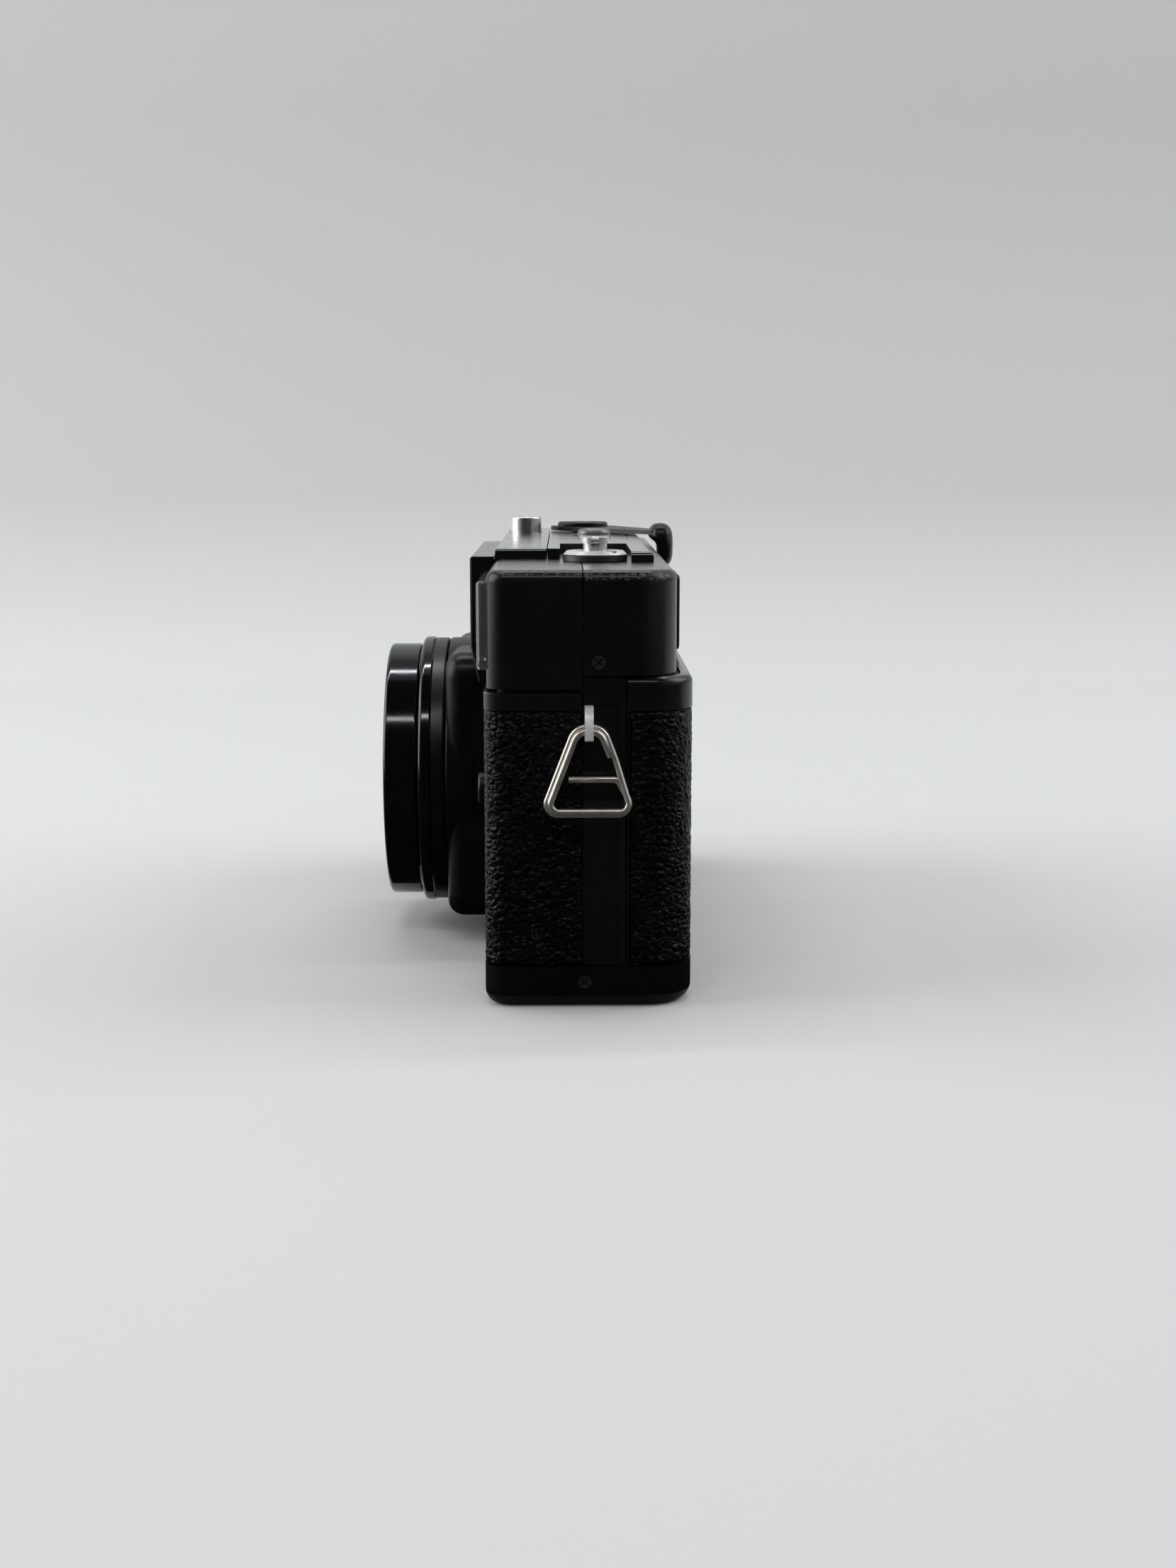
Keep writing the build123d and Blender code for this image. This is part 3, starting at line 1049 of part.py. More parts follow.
def side_screws():
    """Cross-recessed screws of the base and the top housing, two at each end."""
    screws = []
    for side in (-1, 1):
        face = side * HALF_WIDTH
        for y, z in ((BASE_SCREW_Y, BASE_SCREW_Z), (TOP_SCREW_Y, TOP_SCREW_Z)):
            head = rod_x(y, z, *sorted((face - side * SCREW_SUNK, face - side * SCREW_HEAD)), SIDE_SCREW_R)
            shank = rod_x(y, z, *sorted((face - side * SCREW_HEAD, face - side * SCREW_LENGTH)), SCREW_SHANK_R - SEAT)
            for angle in (45, 135):
                head -= Pos(face, y, z) * Rot(angle, 0, 0) * Box(1.0, 0.28, 1.5 * SIDE_SCREW_R)
            screws.append(head + shank)
    return screws


# ================================================================ nodes
NODES = {
    "chassis": chassis,
    "hinge_pin": hinge_pin,
    "base_cover": base_cover,
    "front_cover": front_cover,
    "front_leatherette": front_leatherette,
    "side_strips": side_strips,
    "strap_lugs": strap_lugs,
    "strap_ring_rewind": lambda: strap_ring(1),
    "strap_ring_wind": lambda: strap_ring(-1),
    "rear_top_cover": rear_top_cover,
    "flash_housing": flash_housing,
    "release_side_cover": release_side_cover,
    "finder_block": finder_block,
    "finder_bezel": finder_bezel,
    "clear_windows": clear_windows,
    "frosted_window": lambda: front_window(1),
    "eyepiece_surround": eyepiece_surround,
    "eyepiece_lens": eyepiece_lens,
    "beamsplitter": beamsplitter,
    "mirror_carrier": mirror_carrier,
    "rangefinder_mirror": rangefinder_mirror,
    "front_deck": front_deck,
    "rear_deck": rear_deck,
    "wind_deck": wind_deck,
    "counter_window": counter_window,
    "counter_dial": counter_dial,
    "flash_window": flash_window,
    "flash_reflector": flash_reflector,
    "flash_capacitor": flash_capacitor,
    "flash_battery": flash_battery,
    "battery_hatch": battery_hatch,
    "lens_housing": lens_housing,
    "lens_sleeve": lens_sleeve,
    "focus_ring": focus_ring,
    "lens_barrel": lens_barrel,
    "front_cone": front_cone,
    "front_lens": front_lens,
    "rear_lens": rear_lens,
    "shutter_case": shutter_case,
    "shutter_blade_left": lambda: shutter_blade(-1),
    "shutter_blade_right": lambda: shutter_blade(1),
    "release_button": release_button,
    "front_button": front_button,
    "unlock_button": unlock_button,
    "lever_arm": lever_arm,
    "lever_cap": lever_cap,
    "lever_tip": lever_tip,
    "takeup_spool": takeup_spool,
    "film_sprocket": film_sprocket,
    "back_latch": back_latch,
    "rewind_shaft": rewind_shaft,
    "rewind_disc": rewind_disc,
    "crank_arm": crank_arm,
    "crank_grip": crank_grip,
    "film_door": film_door,
    "door_leatherette": door_leatherette,
    "pressure_plate": pressure_plate,
    "plate_spring": plate_spring,
    "tripod_bush": tripod_bush,
    "side_screws": side_screws,
}


def as_shape(result):
    """One shape from a solid or a list of separate solids."""
    return Compound(children=list(result)) if isinstance(result, list) else result


os.makedirs("parts", exist_ok=True)
for name, make in NODES.items():
    export_step(as_shape(make()), f"parts/{name}.step")
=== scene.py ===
"""Looks of a compact rangefinder camera with a built-in flash, laid out as a Blender add-on.

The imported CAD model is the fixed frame. The pieces made here are surfaces worked out with
numpy in millimetres, in the frame's own axes: +X is the rewind side, the lens looks along
-Y, and Z = 0 is the plane that the camera stands on.
"""
import math

import bmesh
import bpy
import numpy as np
from bpy.props import FloatProperty, FloatVectorProperty, IntProperty, PointerProperty
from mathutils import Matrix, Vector


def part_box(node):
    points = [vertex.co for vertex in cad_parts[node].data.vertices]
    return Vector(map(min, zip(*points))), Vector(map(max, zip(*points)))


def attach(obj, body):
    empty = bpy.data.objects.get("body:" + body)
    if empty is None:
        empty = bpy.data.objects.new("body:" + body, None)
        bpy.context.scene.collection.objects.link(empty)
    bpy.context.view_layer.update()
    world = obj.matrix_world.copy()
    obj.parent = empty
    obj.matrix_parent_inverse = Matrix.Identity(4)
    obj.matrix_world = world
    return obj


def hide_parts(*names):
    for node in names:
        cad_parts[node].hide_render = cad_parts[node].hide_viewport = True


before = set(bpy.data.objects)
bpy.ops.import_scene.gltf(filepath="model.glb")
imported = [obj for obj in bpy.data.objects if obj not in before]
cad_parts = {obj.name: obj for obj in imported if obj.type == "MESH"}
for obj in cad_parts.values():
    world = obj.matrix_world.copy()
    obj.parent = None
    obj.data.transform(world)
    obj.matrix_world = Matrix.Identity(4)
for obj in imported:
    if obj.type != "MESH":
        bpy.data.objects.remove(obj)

bl_info = {
    "name": "Rangefinder Camera",
    "version": (1, 0, 0),
    "blender": (4, 5, 0),
    "location": "View3D > Sidebar > Camera",
    "description": "Dresses the packed camera with its coverings, glass, metal and studio",
    "category": "Object",
}

MM = 0.001


# ======== numbers read from the frame
def corners(node):
    """Lowest and highest corner of a CAD node at rest, in millimetres."""
    low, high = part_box(node)
    return np.array(low) / MM, np.array(high) / MM


def top_of(node):
    """Height of a CAD node's highest point, in millimetres."""
    return float(corners(node)[1][2])


HALF_WIDTH = float(corners("front_leatherette")[1][0])
LENS_Z = float(sum(corners("focus_ring"))[2] / 2)


# ======== mesh tools
def grid_quads(rows, columns, wrap_rows=False, wrap_columns=False):
    """Quads between neighbouring points of a rows by columns grid; a wrapped side joins its last
    line to its first."""
    r = np.arange(rows if wrap_rows else rows - 1)[:, None]
    c = np.arange(columns if wrap_columns else columns - 1)[None, :]
    r_next, c_next = (r + 1) % rows, (c + 1) % columns
    here, after = r * columns, r_next * columns
    return np.stack([here + c, here + c_next, after + c_next, after + c], -1).reshape(-1, 4)


def make_piece(name, points, faces, body, finish, replaced=(), attribute=None):
    """Puts points in millimetres and faces into a new object that rides on a CAD body."""
    mesh = bpy.data.meshes.new(name)
    points = np.asarray(points, float).reshape(-1, 3)
    mesh.from_pydata((points * MM).tolist(), [], [list(map(int, f)) for f in faces])
    mesh.polygons.foreach_set("use_smooth", np.ones(len(mesh.polygons), bool))
    if attribute is not None:
        layer = mesh.attributes.new(attribute[0], "FLOAT", "POINT")
        layer.data.foreach_set("value", np.asarray(attribute[1], np.float32).ravel())
    mesh.update()
    piece = bpy.data.objects.new(name, mesh)
    bpy.context.scene.collection.objects.link(piece)
    piece.data.materials.append(finish)
    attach(piece, body)
    if replaced:
        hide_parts(*replaced)
    return piece


def round_corners(corner_points, radii, steps=8, closed=False, hold=0.0):
    """Polyline with each corner turned into an arc of its radius: the arc's centre lies on the
    corner's bisector, and the arc runs between the two points where it touches the straight
    runs. Hold adds a point on each run at that distance from the arc, which keeps smooth
    shading flat between arcs."""
    pts = np.asarray(corner_points, float)
    count = len(pts)
    made = []
    for i in range(count):
        radius = radii[i]
        if (not closed and i in (0, count - 1)) or radius <= 0:
            made.append(pts[i:i + 1])
            continue
        a, b, c = pts[i - 1], pts[i], pts[(i + 1) % count]
        u, v = (a - b) / np.linalg.norm(a - b), (c - b) / np.linalg.norm(c - b)
        half = math.acos(np.clip(u @ v, -1, 1)) / 2
        cut = radius / math.tan(half)
        centre = b + (u + v) / np.linalg.norm(u + v) * radius / math.sin(half)
        start, end = b + u * cut - centre, b + v * cut - centre
        sweep = math.pi - 2 * half
        t = np.linspace(0, 1, steps + 1)[:, None]
        turned = np.sin((1 - t) * sweep) * start + np.sin(t * sweep) * end
        arc = centre + turned / math.sin(sweep)
        if hold > 0:
            arc = np.vstack([b + u * (cut + hold), arc, b + v * (cut + hold)])
        made.append(arc)
    return np.vstack(made)


def spun(profile, centre, axis, segments):
    """Grid of a (radius, height) profile turned about an axis through centre: each profile point
    goes round the circle of its radius at its height along the axis."""
    turn = np.linspace(0, 2 * math.pi, segments, endpoint=False)
    radius, height = np.asarray(profile, float).T
    ring = np.empty((segments, len(radius), 3))
    first, second = [i for i in range(3) if i != axis]
    ring[..., axis] = height
    ring[..., first] = radius * np.cos(turn)[:, None]
    ring[..., second] = radius * np.sin(turn)[:, None]
    return ring + np.asarray(centre, float)


def spun_solid(profile, centre, axis, segments):
    """Points and faces of a solid turned from an open (radius, height) profile that starts and
    ends on the axis: its first and last points are single poles with a fan of triangles, and
    quads join the rings between them."""
    profile = np.asarray(profile, float)
    rings = spun(profile[1:-1], (0, 0, 0), axis, segments)
    count = len(profile) - 2
    poles = np.zeros((2, 3))
    poles[:, axis] = profile[[0, -1], 1]
    points = np.vstack([rings.reshape(-1, 3), poles]) + np.asarray(centre, float)
    turn = np.arange(segments)
    after = (turn + 1) % segments
    first, last = np.full(segments, segments * count), np.full(segments, segments * count + 1)
    end = count - 1
    fans = [np.stack([first, after * count, turn * count], -1),
            np.stack([last, turn * count + end, after * count + end], -1)]
    quads = grid_quads(segments, count, wrap_rows=True)
    return points, [list(f) for part in (quads, *fans) for f in part]


def outward(points, faces):
    """Four-sided faces, all turned over if the volume that they enclose comes out negative, so
    that they point outwards."""
    faces = np.asarray(faces)
    p = np.asarray(points, float).reshape(-1, 3)
    p = p - p.mean(0)
    a, b, c, d = (p[faces[:, i]] for i in range(4))
    volume = (a * (np.cross(b, c) + np.cross(c, d))).sum()
    return faces[:, ::-1] if volume < 0 else faces


def carried(path, profile, up):
    """Grid of a closed (across, up) profile carried along a path: at each path point the profile
    stands square to the path, with its second side kept near the up direction."""
    along = np.gradient(path, axis=0)
    along /= np.linalg.norm(along, axis=1)[:, None]
    side = np.cross(along, up)
    side /= np.linalg.norm(side, axis=1)[:, None]
    top = np.cross(side, along)
    across, high = profile[None, :, :1], profile[None, :, 1:]
    return path[:, None] + across * side[:, None] + high * top[:, None]


def slab(outer, inner, kept):
    """Points and quads of a sheet with thickness: an outer and an inner grid, quads only over the
    kept cells, and a wall along every edge between a kept cell and one that is not. The third
    result lists the grid points that are used."""
    rows, columns = outer.shape[:2]
    cells = grid_quads(rows, columns).reshape(rows - 1, columns - 1, 4)
    shift = rows * columns
    faces = [cells[kept], (cells[kept] + shift)[:, ::-1]]
    padded = np.pad(kept, 1)
    sides = ((padded[:-2, 1:-1], 0, 1), (padded[1:-1, 2:], 1, 2),
             (padded[2:, 1:-1], 2, 3), (padded[1:-1, :-2], 3, 0))
    for neighbour, first, second in sides:
        edge = cells[kept & ~neighbour]
        start, end = edge[:, first], edge[:, second]
        faces.append(np.stack([end, start, start + shift, end + shift], -1))
    faces = np.vstack(faces)
    points = np.vstack([outer.reshape(-1, 3), inner.reshape(-1, 3)])
    used, faces = np.unique(faces, return_inverse=True)
    return points[used], faces.reshape(-1, 4), used


def band_noise(shape, cell, longest, shortest, seed):
    """Noise with waves between two lengths in millimetres: white noise whose frequencies are
    weighted by a bell curve of their logarithm, centred between the two lengths."""
    rng = np.random.default_rng(seed)
    waves = np.fft.rfft2(rng.standard_normal(shape))
    fy = np.fft.fftfreq(shape[0], cell)[:, None]
    fx = np.fft.rfftfreq(shape[1], cell)[None, :]
    octaves = np.log(np.maximum(np.hypot(fx, fy), 1e-6))
    middle = -math.log(longest * shortest) / 2
    width = math.log(longest / shortest) / 2
    ring = np.exp(-((octaves - middle) ** 2) / (2 * width ** 2))
    noise = np.fft.irfft2(waves * ring, s=shape)
    return noise / noise.std()


def fix_normals(piece):
    """Turns a closed piece's faces outwards."""
    mesh = bmesh.new()
    mesh.from_mesh(piece.data)
    bmesh.ops.recalc_face_normals(mesh, faces=mesh.faces)
    mesh.to_mesh(piece.data)
    mesh.free()


# ======== materials
def rgb(colour):
    """Colour as four numbers."""
    return (*colour, 1.0)


class Nodes:
    """Short ways to add and join the nodes of one material."""

    def __init__(self, name):
        self.material = bpy.data.materials.new(name)
        self.material.use_nodes = True
        self.tree = self.material.node_tree
        self.tree.nodes.clear()
        self.shader = self.add("ShaderNodeBsdfPrincipled")
        self.join(self.shader.outputs[0], self.add("ShaderNodeOutputMaterial").inputs["Surface"])
        place = self.add("ShaderNodeTexCoord")
        mapping = self.add("ShaderNodeMapping")
        self.join(place.outputs["Object"], mapping.inputs["Vector"])
        self.at = mapping.outputs[0]

    def add(self, kind, **settings):
        node = self.tree.nodes.new(kind)
        for key, value in settings.items():
            setattr(node, key, value)
        return node

    def join(self, source, target):
        self.tree.links.new(source, target)

    def put(self, target, value):
        """Joins an output to a socket, or writes a constant on it."""
        if isinstance(value, bpy.types.NodeSocket):
            self.join(value, target)
        else:
            target.default_value = value

    def stretched(self, stretch):
        """Place whose axes are multiplied by the three factors of stretch."""
        if stretch is None:
            return self.at
        scale = self.add("ShaderNodeVectorMath", operation="MULTIPLY")
        self.join(self.at, scale.inputs[0])
        scale.inputs[1].default_value = stretch
        return scale.outputs[0]

    def noise(self, size, detail=2.0, rough=0.5, warp=0.0, stretch=None):
        """Noise whose largest lumps are about size millimetres across."""
        node = self.add("ShaderNodeTexNoise")
        self.join(self.stretched(stretch), node.inputs["Vector"])
        node.inputs["Scale"].default_value = 1 / (size * MM)
        node.inputs["Detail"].default_value = detail
        node.inputs["Roughness"].default_value = rough
        node.inputs["Distortion"].default_value = warp
        return node.outputs["Fac"]

    def cells(self, size, stretch=None):
        """Distance to the edge of irregular cells about size millimetres across."""
        node = self.add("ShaderNodeTexVoronoi", feature="DISTANCE_TO_EDGE")
        self.join(self.stretched(stretch), node.inputs["Vector"])
        node.inputs["Scale"].default_value = 1 / (size * MM)
        return node.outputs["Distance"]

    def math(self, operation, first, second):
        """Result of a sum, difference or product of two values."""
        node = self.add("ShaderNodeMath", operation=operation)
        for socket, value in zip(node.inputs, (first, second)):
            self.put(socket, value)
        return node.outputs[0]

    def span(self, value, low, high, to_low=0.0, to_high=1.0):
        """Value mapped so that low becomes to_low and high becomes to_high, held between them."""
        node = self.add("ShaderNodeMapRange", clamp=True)
        for socket, number in zip(node.inputs, (value, low, high, to_low, to_high)):
            self.put(socket, number)
        return node.outputs[0]

    def blend(self, factor, first, second):
        """Colour between first and second."""
        node = self.add("ShaderNodeMix", data_type="RGBA")
        self.put(node.inputs[0], factor)
        self.put(node.inputs[6], rgb(first) if isinstance(first, tuple) else first)
        self.put(node.inputs[7], rgb(second) if isinstance(second, tuple) else second)
        return node.outputs[2]

    def axis(self, which):
        """Object coordinate along X, Y or Z in millimetres, in the frame's axes."""
        place = self.add("ShaderNodeTexCoord")
        split = self.add("ShaderNodeSeparateXYZ")
        self.join(place.outputs["Object"], split.inputs[0])
        return self.math("MULTIPLY", split.outputs["XYZ".index(which)], 1 / MM)

    def bump(self, height, depth, strength=1.0, before=None):
        """Relief of depth millimetres from a height between 0 and 1."""
        node = self.add("ShaderNodeBump")
        node.inputs["Strength"].default_value = strength
        node.inputs["Distance"].default_value = depth * MM
        self.join(height, node.inputs["Height"])
        if before is not None:
            self.join(before, node.inputs["Normal"])
        return node.outputs[0]

    def set(self, **values):
        """Writes or joins the shader's sockets, named with underscores for blanks."""
        for key, value in values.items():
            socket = self.shader.inputs[key.replace("_", " ")]
            if isinstance(value, tuple) and len(value) == 3 and socket.type == "RGBA":
                value = rgb(value)
            self.put(socket, value)
        return self.material


COAT_IOR = 1.7
WORN_COLOUR = (0.16, 0.16, 0.155)


def coated(name, dark, light, rough=0.3, specular=0.3, grain=0.12, depth=0.004, spread=0.08,
           coat=0.0, coat_rough=0.06, top=None, wear=None):
    """Black or coloured finish: two tones in soft clouds, fine grain in the relief and handling
    marks in the gloss. Top is the height in millimetres from which a clear coat shines. Wear is
    the lowest and highest height of an edge that is dented and rubbed in sparse specks."""
    n = Nodes(name)
    clouds = n.noise(14, 3)
    fine = n.noise(grain, 3, 0.6)
    smears = n.noise(3.5, 5, 0.65, stretch=(1, 1, 0.35))
    colour = n.blend(n.span(clouds, 0.35, 0.65), dark, light)
    gloss = n.span(smears, 0.3, 0.7, rough - spread, rough + spread)
    relief = n.bump(fine, depth)
    relief = n.bump(n.noise(2.2, 2), depth * 1.5, 0.5, relief)
    if wear is not None:
        height = n.axis("Z")
        low, high = wear
        band = n.math("MULTIPLY", n.span(height, low, low + 0.4), n.span(height, high, high - 0.3))
        dents = n.span(n.noise(0.7, 5, 0.75), 0.52, 0.66)
        specks = n.math("MULTIPLY", dents, band)
        colour = n.blend(n.math("MULTIPLY", specks, 0.35), colour, WORN_COLOUR)
        relief = n.bump(n.math("SUBTRACT", 1.0, specks), 0.06, 0.8, relief)
    if top is not None:
        coat = n.math("MULTIPLY", n.span(n.axis("Z"), top - 0.35, top - 0.1), coat)
    return n.set(Base_Color=colour, Roughness=gloss, Normal=relief, Specular_IOR_Level=specular,
                 Coat_Weight=coat, Coat_Roughness=coat_rough, Coat_IOR=COAT_IOR)


# Colour of the painted shade below a metal's foot height.
FOOT_SHADE_COLOUR = (0.05, 0.05, 0.05)


def metal(name, dark, light, rough=0.2, grain=0.5, depth=0.003, streak=(1, 1, 1), spread=0.06,
          metallic=1.0, foot=None):
    """Bare or plated metal: tones in soft clouds, roughness in fine streaks, and faint tool marks
    in the relief. Below the height foot, in millimetres, its colour is a dark painted shade."""
    n = Nodes(name)
    clouds = n.noise(2.5, 4, 0.6)
    streaks = n.noise(grain, 4, 0.6, stretch=streak)
    colour = n.blend(n.span(clouds, 0.3, 0.7), dark, light)
    gloss = n.span(streaks, 0.3, 0.7, rough - spread, rough + spread)
    if foot is not None:
        # Painted shade: the colour turns dark below the foot height.
        above = n.span(n.axis("Z"), foot - 0.05, foot + 0.05)
        colour = n.blend(above, FOOT_SHADE_COLOUR, colour)
    return n.set(Base_Color=colour, Roughness=gloss, Normal=n.bump(streaks, depth),
                 Metallic=metallic)


def glass(name, tint, rough=0.02, weight=1.0, coat=0.0):
    """Clear or milky pane with faint smears in its gloss; weight is the share of clear glass."""
    n = Nodes(name)
    smears = n.noise(2.5, 4, 0.6)
    pale = tuple(min(1.0, 1.04 * t) for t in tint)
    return n.set(Base_Color=n.blend(smears, tint, pale),
                 Roughness=n.span(smears, 0.4, 0.8, rough, rough + 0.05),
                 Transmission_Weight=weight, IOR=1.5, Coat_Weight=coat, Coat_Roughness=0.03,
                 Specular_IOR_Level=0.5)


# Colour of the painted highlights: pale glints on the covering's wrinkles.
GLINT_COLOUR = (0.13, 0.13, 0.13)


def leather(name, look):
    """Grained covering: near black, with painted shade that darkens the creases against the
    crowns, a fine second grain in relief, and pale painted highlights (glints) along short level
    wrinkles."""
    n = Nodes(name)
    fine = n.cells(0.5, stretch=(0.8, 0.8, 1.3))
    hair = n.noise(0.16, 4, 0.7, warp=1.5)
    clouds = n.noise(9, 3)
    height = n.add("ShaderNodeAttribute", attribute_name="grain")
    # Painted shade: the crease colour darkens the grain's hollows, the crown colour holds on its
    # crowns, mixed with random tone.
    crown = n.span(height.outputs["Fac"], 0.35, 0.95)
    shade_and_tone = n.math("MULTIPLY", crown, n.span(clouds, 0.3, 0.7, 0.5, 1.0))
    colour = n.blend(shade_and_tone, tuple(look.leather_crease_shade), tuple(look.leather_high))
    # Painted highlights: pale glints along short level wrinkles of the covering.
    wrinkles = n.span(n.noise(1.3, 3, 0.6, warp=0.6, stretch=(0.22, 0.22, 1)), 0.56, 0.66)
    specks = n.span(n.noise(0.3, 2, 0.7, stretch=(0.5, 0.5, 1)), 0.6, 0.7)
    painted_glints = n.math("MULTIPLY", specks, wrinkles)
    colour = n.blend(n.math("MULTIPLY", painted_glints, 0.8), colour, GLINT_COLOUR)
    gloss = n.span(hair, 0.35, 0.7, 0.26, 0.46)
    pebbles = n.cells(1.25, stretch=(1.0, 1.0, 1.15))
    relief = n.bump(n.span(pebbles, 0.0, 0.42), 0.22, 1.0)
    relief = n.bump(n.span(fine, 0.0, 0.3), 0.04, 0.6, relief)
    return n.set(Base_Color=colour, Roughness=gloss, Normal=relief, Specular_IOR_Level=0.18)


def grey(value):
    """Neutral colour of one brightness."""
    return (value, value, value)


def make_finishes(look):
    """Every finish of the camera by its plain name."""
    cover = tuple(look.cover_colour)
    lift = tuple(1.5 * c for c in cover)
    ring = tuple(0.7 * c for c in cover)

    def shell(name, node, rubbed=None):
        """Painted shell that shines on top and is rubbed between two depths below its top."""
        top = top_of(node)
        wear = None if rubbed is None else (top - rubbed[0], top - rubbed[1])
        return coated(name, cover, lift, 0.26, 0.35, depth=0.002, spread=0.04, coat=0.8,
                      coat_rough=0.24, top=top, wear=wear)

    return {
        "cover": shell("cover_black", "release_side_cover"),
        "rear_cover": shell("rear_cover_black", "rear_top_cover", (1.8, 0.1)),
        "flash_cover": shell("flash_cover_black", "flash_housing", (0.9, 0.05)),
        "finder": shell("finder_black", "finder_block"),
        "door": shell("door_black", "film_door"),
        "front": shell("front_black", "front_cover"),
        "deck": coated("deck_black", cover, lift, 0.16, 0.5, depth=0.0015, spread=0.05,
                       coat=1.0, coat_rough=0.2),
        "gloss": coated("gloss_black", cover, lift, 0.12, 0.5, depth=0.002, spread=0.03,
                        coat=0.3),
        "plastic": coated("black_plastic", cover, lift, 0.34, 0.3, depth=0.005),
        "base": coated("base_black", ring, cover, 0.42, 0.08, depth=0.006),
        "ring_gloss": coated("ring_gloss_black", ring, cover, 0.11, 0.5, grain=0.35,
                             depth=0.0008, spread=0.03),
        "ring_satin": coated("ring_satin_black", ring, cover, 0.34, 0.5, grain=0.2, depth=0.003),
        "housing": coated("housing_black", ring, cover, 0.34, 0.3, grain=0.2, depth=0.003),
        "screw": coated("screw_black", grey(0.012), grey(0.026), 0.3, 0.5, grain=0.4,
                        depth=0.003),
        "anodised": coated("anodised_black", (0.010, 0.010, 0.011), (0.016, 0.016, 0.018), 0.3,
                           0.5, depth=0.003),
        "casting": coated("casting_black", grey(0.012), grey(0.02), 0.6, 0.3, depth=0.02),
        "blade": coated("blade_black", grey(0.02), grey(0.03), 0.45, 0.5),
        "sleeve": coated("sleeve_blue", (0.02, 0.05, 0.12), (0.03, 0.07, 0.16), 0.4, 0.4),
        "leather": leather("leatherette", look),
        "lug": metal("lug_plate", (0.50, 0.50, 0.49), (0.78, 0.78, 0.76), 0.4, 0.3, 0.012,
                     (1, 1, 0.3), 0.12, 0.2),
        "chrome": metal("chrome", (0.56, 0.56, 0.55), grey(0.68), 0.3, 1.5, 0.0002,
                        metallic=0.8),
        # The disc's side wall below its bevel gets painted shade.
        "disc": metal("disc_chrome", (0.62, 0.62, 0.61), grey(0.74), 0.34, 1.5, 0.0002,
                      metallic=0.5, foot=top_of("rewind_disc") - 0.6),
        "satin_chrome": metal("satin_chrome", (0.70, 0.71, 0.72), (0.84, 0.85, 0.86), 0.32, 0.25,
                              0.001, (1, 1, 0.2)),
        "grip_plate": metal("grip_plate", grey(0.14), grey(0.22), 0.3, 0.5, 0.0006,
                            metallic=0.6),
        "nickel": metal("nickel", (0.72, 0.67, 0.60), (0.92, 0.87, 0.80), 0.33, 0.9, 0.0012,
                        metallic=0.9),
        "steel": metal("steel", grey(0.42), grey(0.56), 0.3, 0.4, 0.004),
        "spring_steel": metal("spring_steel", (0.3, 0.3, 0.32), (0.44, 0.44, 0.46), 0.3, 0.4,
                              0.004),
        "reflector": metal("reflector", grey(0.7), grey(0.82), 0.16, 0.8, 0.002),
        "mirror": metal("mirror", (0.85, 0.85, 0.86), grey(0.9), 0.03, 2.0, 0.0005, spread=0.01),
        "cell": metal("cell_case", grey(0.6), grey(0.72), 0.3, 0.5, 0.003),
        "glass": glass("glass", (0.93, 0.95, 0.95)),
        "coated_glass": glass("coated_glass", (0.62, 0.66, 0.80), coat=0.6),
        "frosted": glass("frosted", (0.78, 0.8, 0.8), 0.35, 0.7),
        "flash_clear": glass("flash_clear", (0.42, 0.44, 0.42), 0.05, 0.92),
    }


NODE_FINISHES = {
    "cover": ["release_side_cover", "side_strips"],
    "front": ["front_cover"],
    "flash_cover": ["flash_housing"],
    "finder": ["finder_block"],
    "door": ["film_door"],
    "rear_cover": ["rear_top_cover"],
    "deck": ["front_deck", "rear_deck", "wind_deck"],
    "gloss": ["finder_bezel"],
    "plastic": ["eyepiece_surround", "lever_arm", "lever_cap", "lever_tip", "takeup_spool",
                "unlock_button", "counter_dial", "film_sprocket", "front_button"],
    "base": ["base_cover", "battery_hatch"],
    "housing": ["lens_housing"],
    "screw": ["side_screws"],
    "anodised": ["lens_sleeve", "focus_ring", "lens_barrel", "front_cone", "shutter_case",
                 "pressure_plate"],
    "casting": ["chassis"],
    "leather": ["front_leatherette", "door_leatherette"],
    "chrome": ["rewind_shaft", "crank_arm", "tripod_bush"],
    "disc": ["rewind_disc"],
    "lug": ["strap_lugs"],
    "satin_chrome": ["release_button"],
    "grip_plate": ["crank_grip"],
    "nickel": ["strap_ring_rewind", "strap_ring_wind"],
    "steel": ["hinge_pin", "back_latch", "mirror_carrier"],
    "spring_steel": ["plate_spring"],
    "blade": ["shutter_blade_left", "shutter_blade_right"],
    "glass": ["clear_windows", "eyepiece_lens", "beamsplitter", "counter_window"],
    "coated_glass": ["front_lens", "rear_lens"],
    "frosted": ["frosted_window"],
    "flash_clear": ["flash_window"],
    "reflector": ["flash_reflector"],
    "mirror": ["rangefinder_mirror"],
    "sleeve": ["flash_capacitor"],
    "cell": ["flash_battery"],
}


# ======== settings
class CameraLook(bpy.types.PropertyGroup):
    """Colours and sizes of the camera's finishes and pieces."""

    cover_colour: FloatVectorProperty(
        name="Cover colour", description="Black of the painted covers",
        size=3, subtype="COLOR", default=(0.0035, 0.0035, 0.0038), min=0, max=1)
    # Painted shade: the hollows' colour darkens the covering's creases against its crowns.
    leather_crease_shade: FloatVectorProperty(
        name="Covering hollows", description="Colour in the covering's creases",
        size=3, subtype="COLOR", default=(0.0006, 0.0006, 0.0007), min=0, max=1)
    leather_high: FloatVectorProperty(
        name="Covering crowns", description="Colour on the covering's crowns",
        size=3, subtype="COLOR", default=(0.0030, 0.0030, 0.0034), min=0, max=1)
    grain_cell: FloatProperty(
        name="Grain cell", description="Spacing of the covering's grid, in millimetres",
        default=0.36, min=0.25, max=1.0)
    grain_depth: FloatProperty(
        name="Grain depth", description="Depth of the covering's creases, in millimetres",
        default=0.28, min=0.0, max=0.4)
    ring_sides: IntProperty(
        name="Ring wire sides", description="Sides of the strap ring's round wire",
        default=20, min=8, max=48)


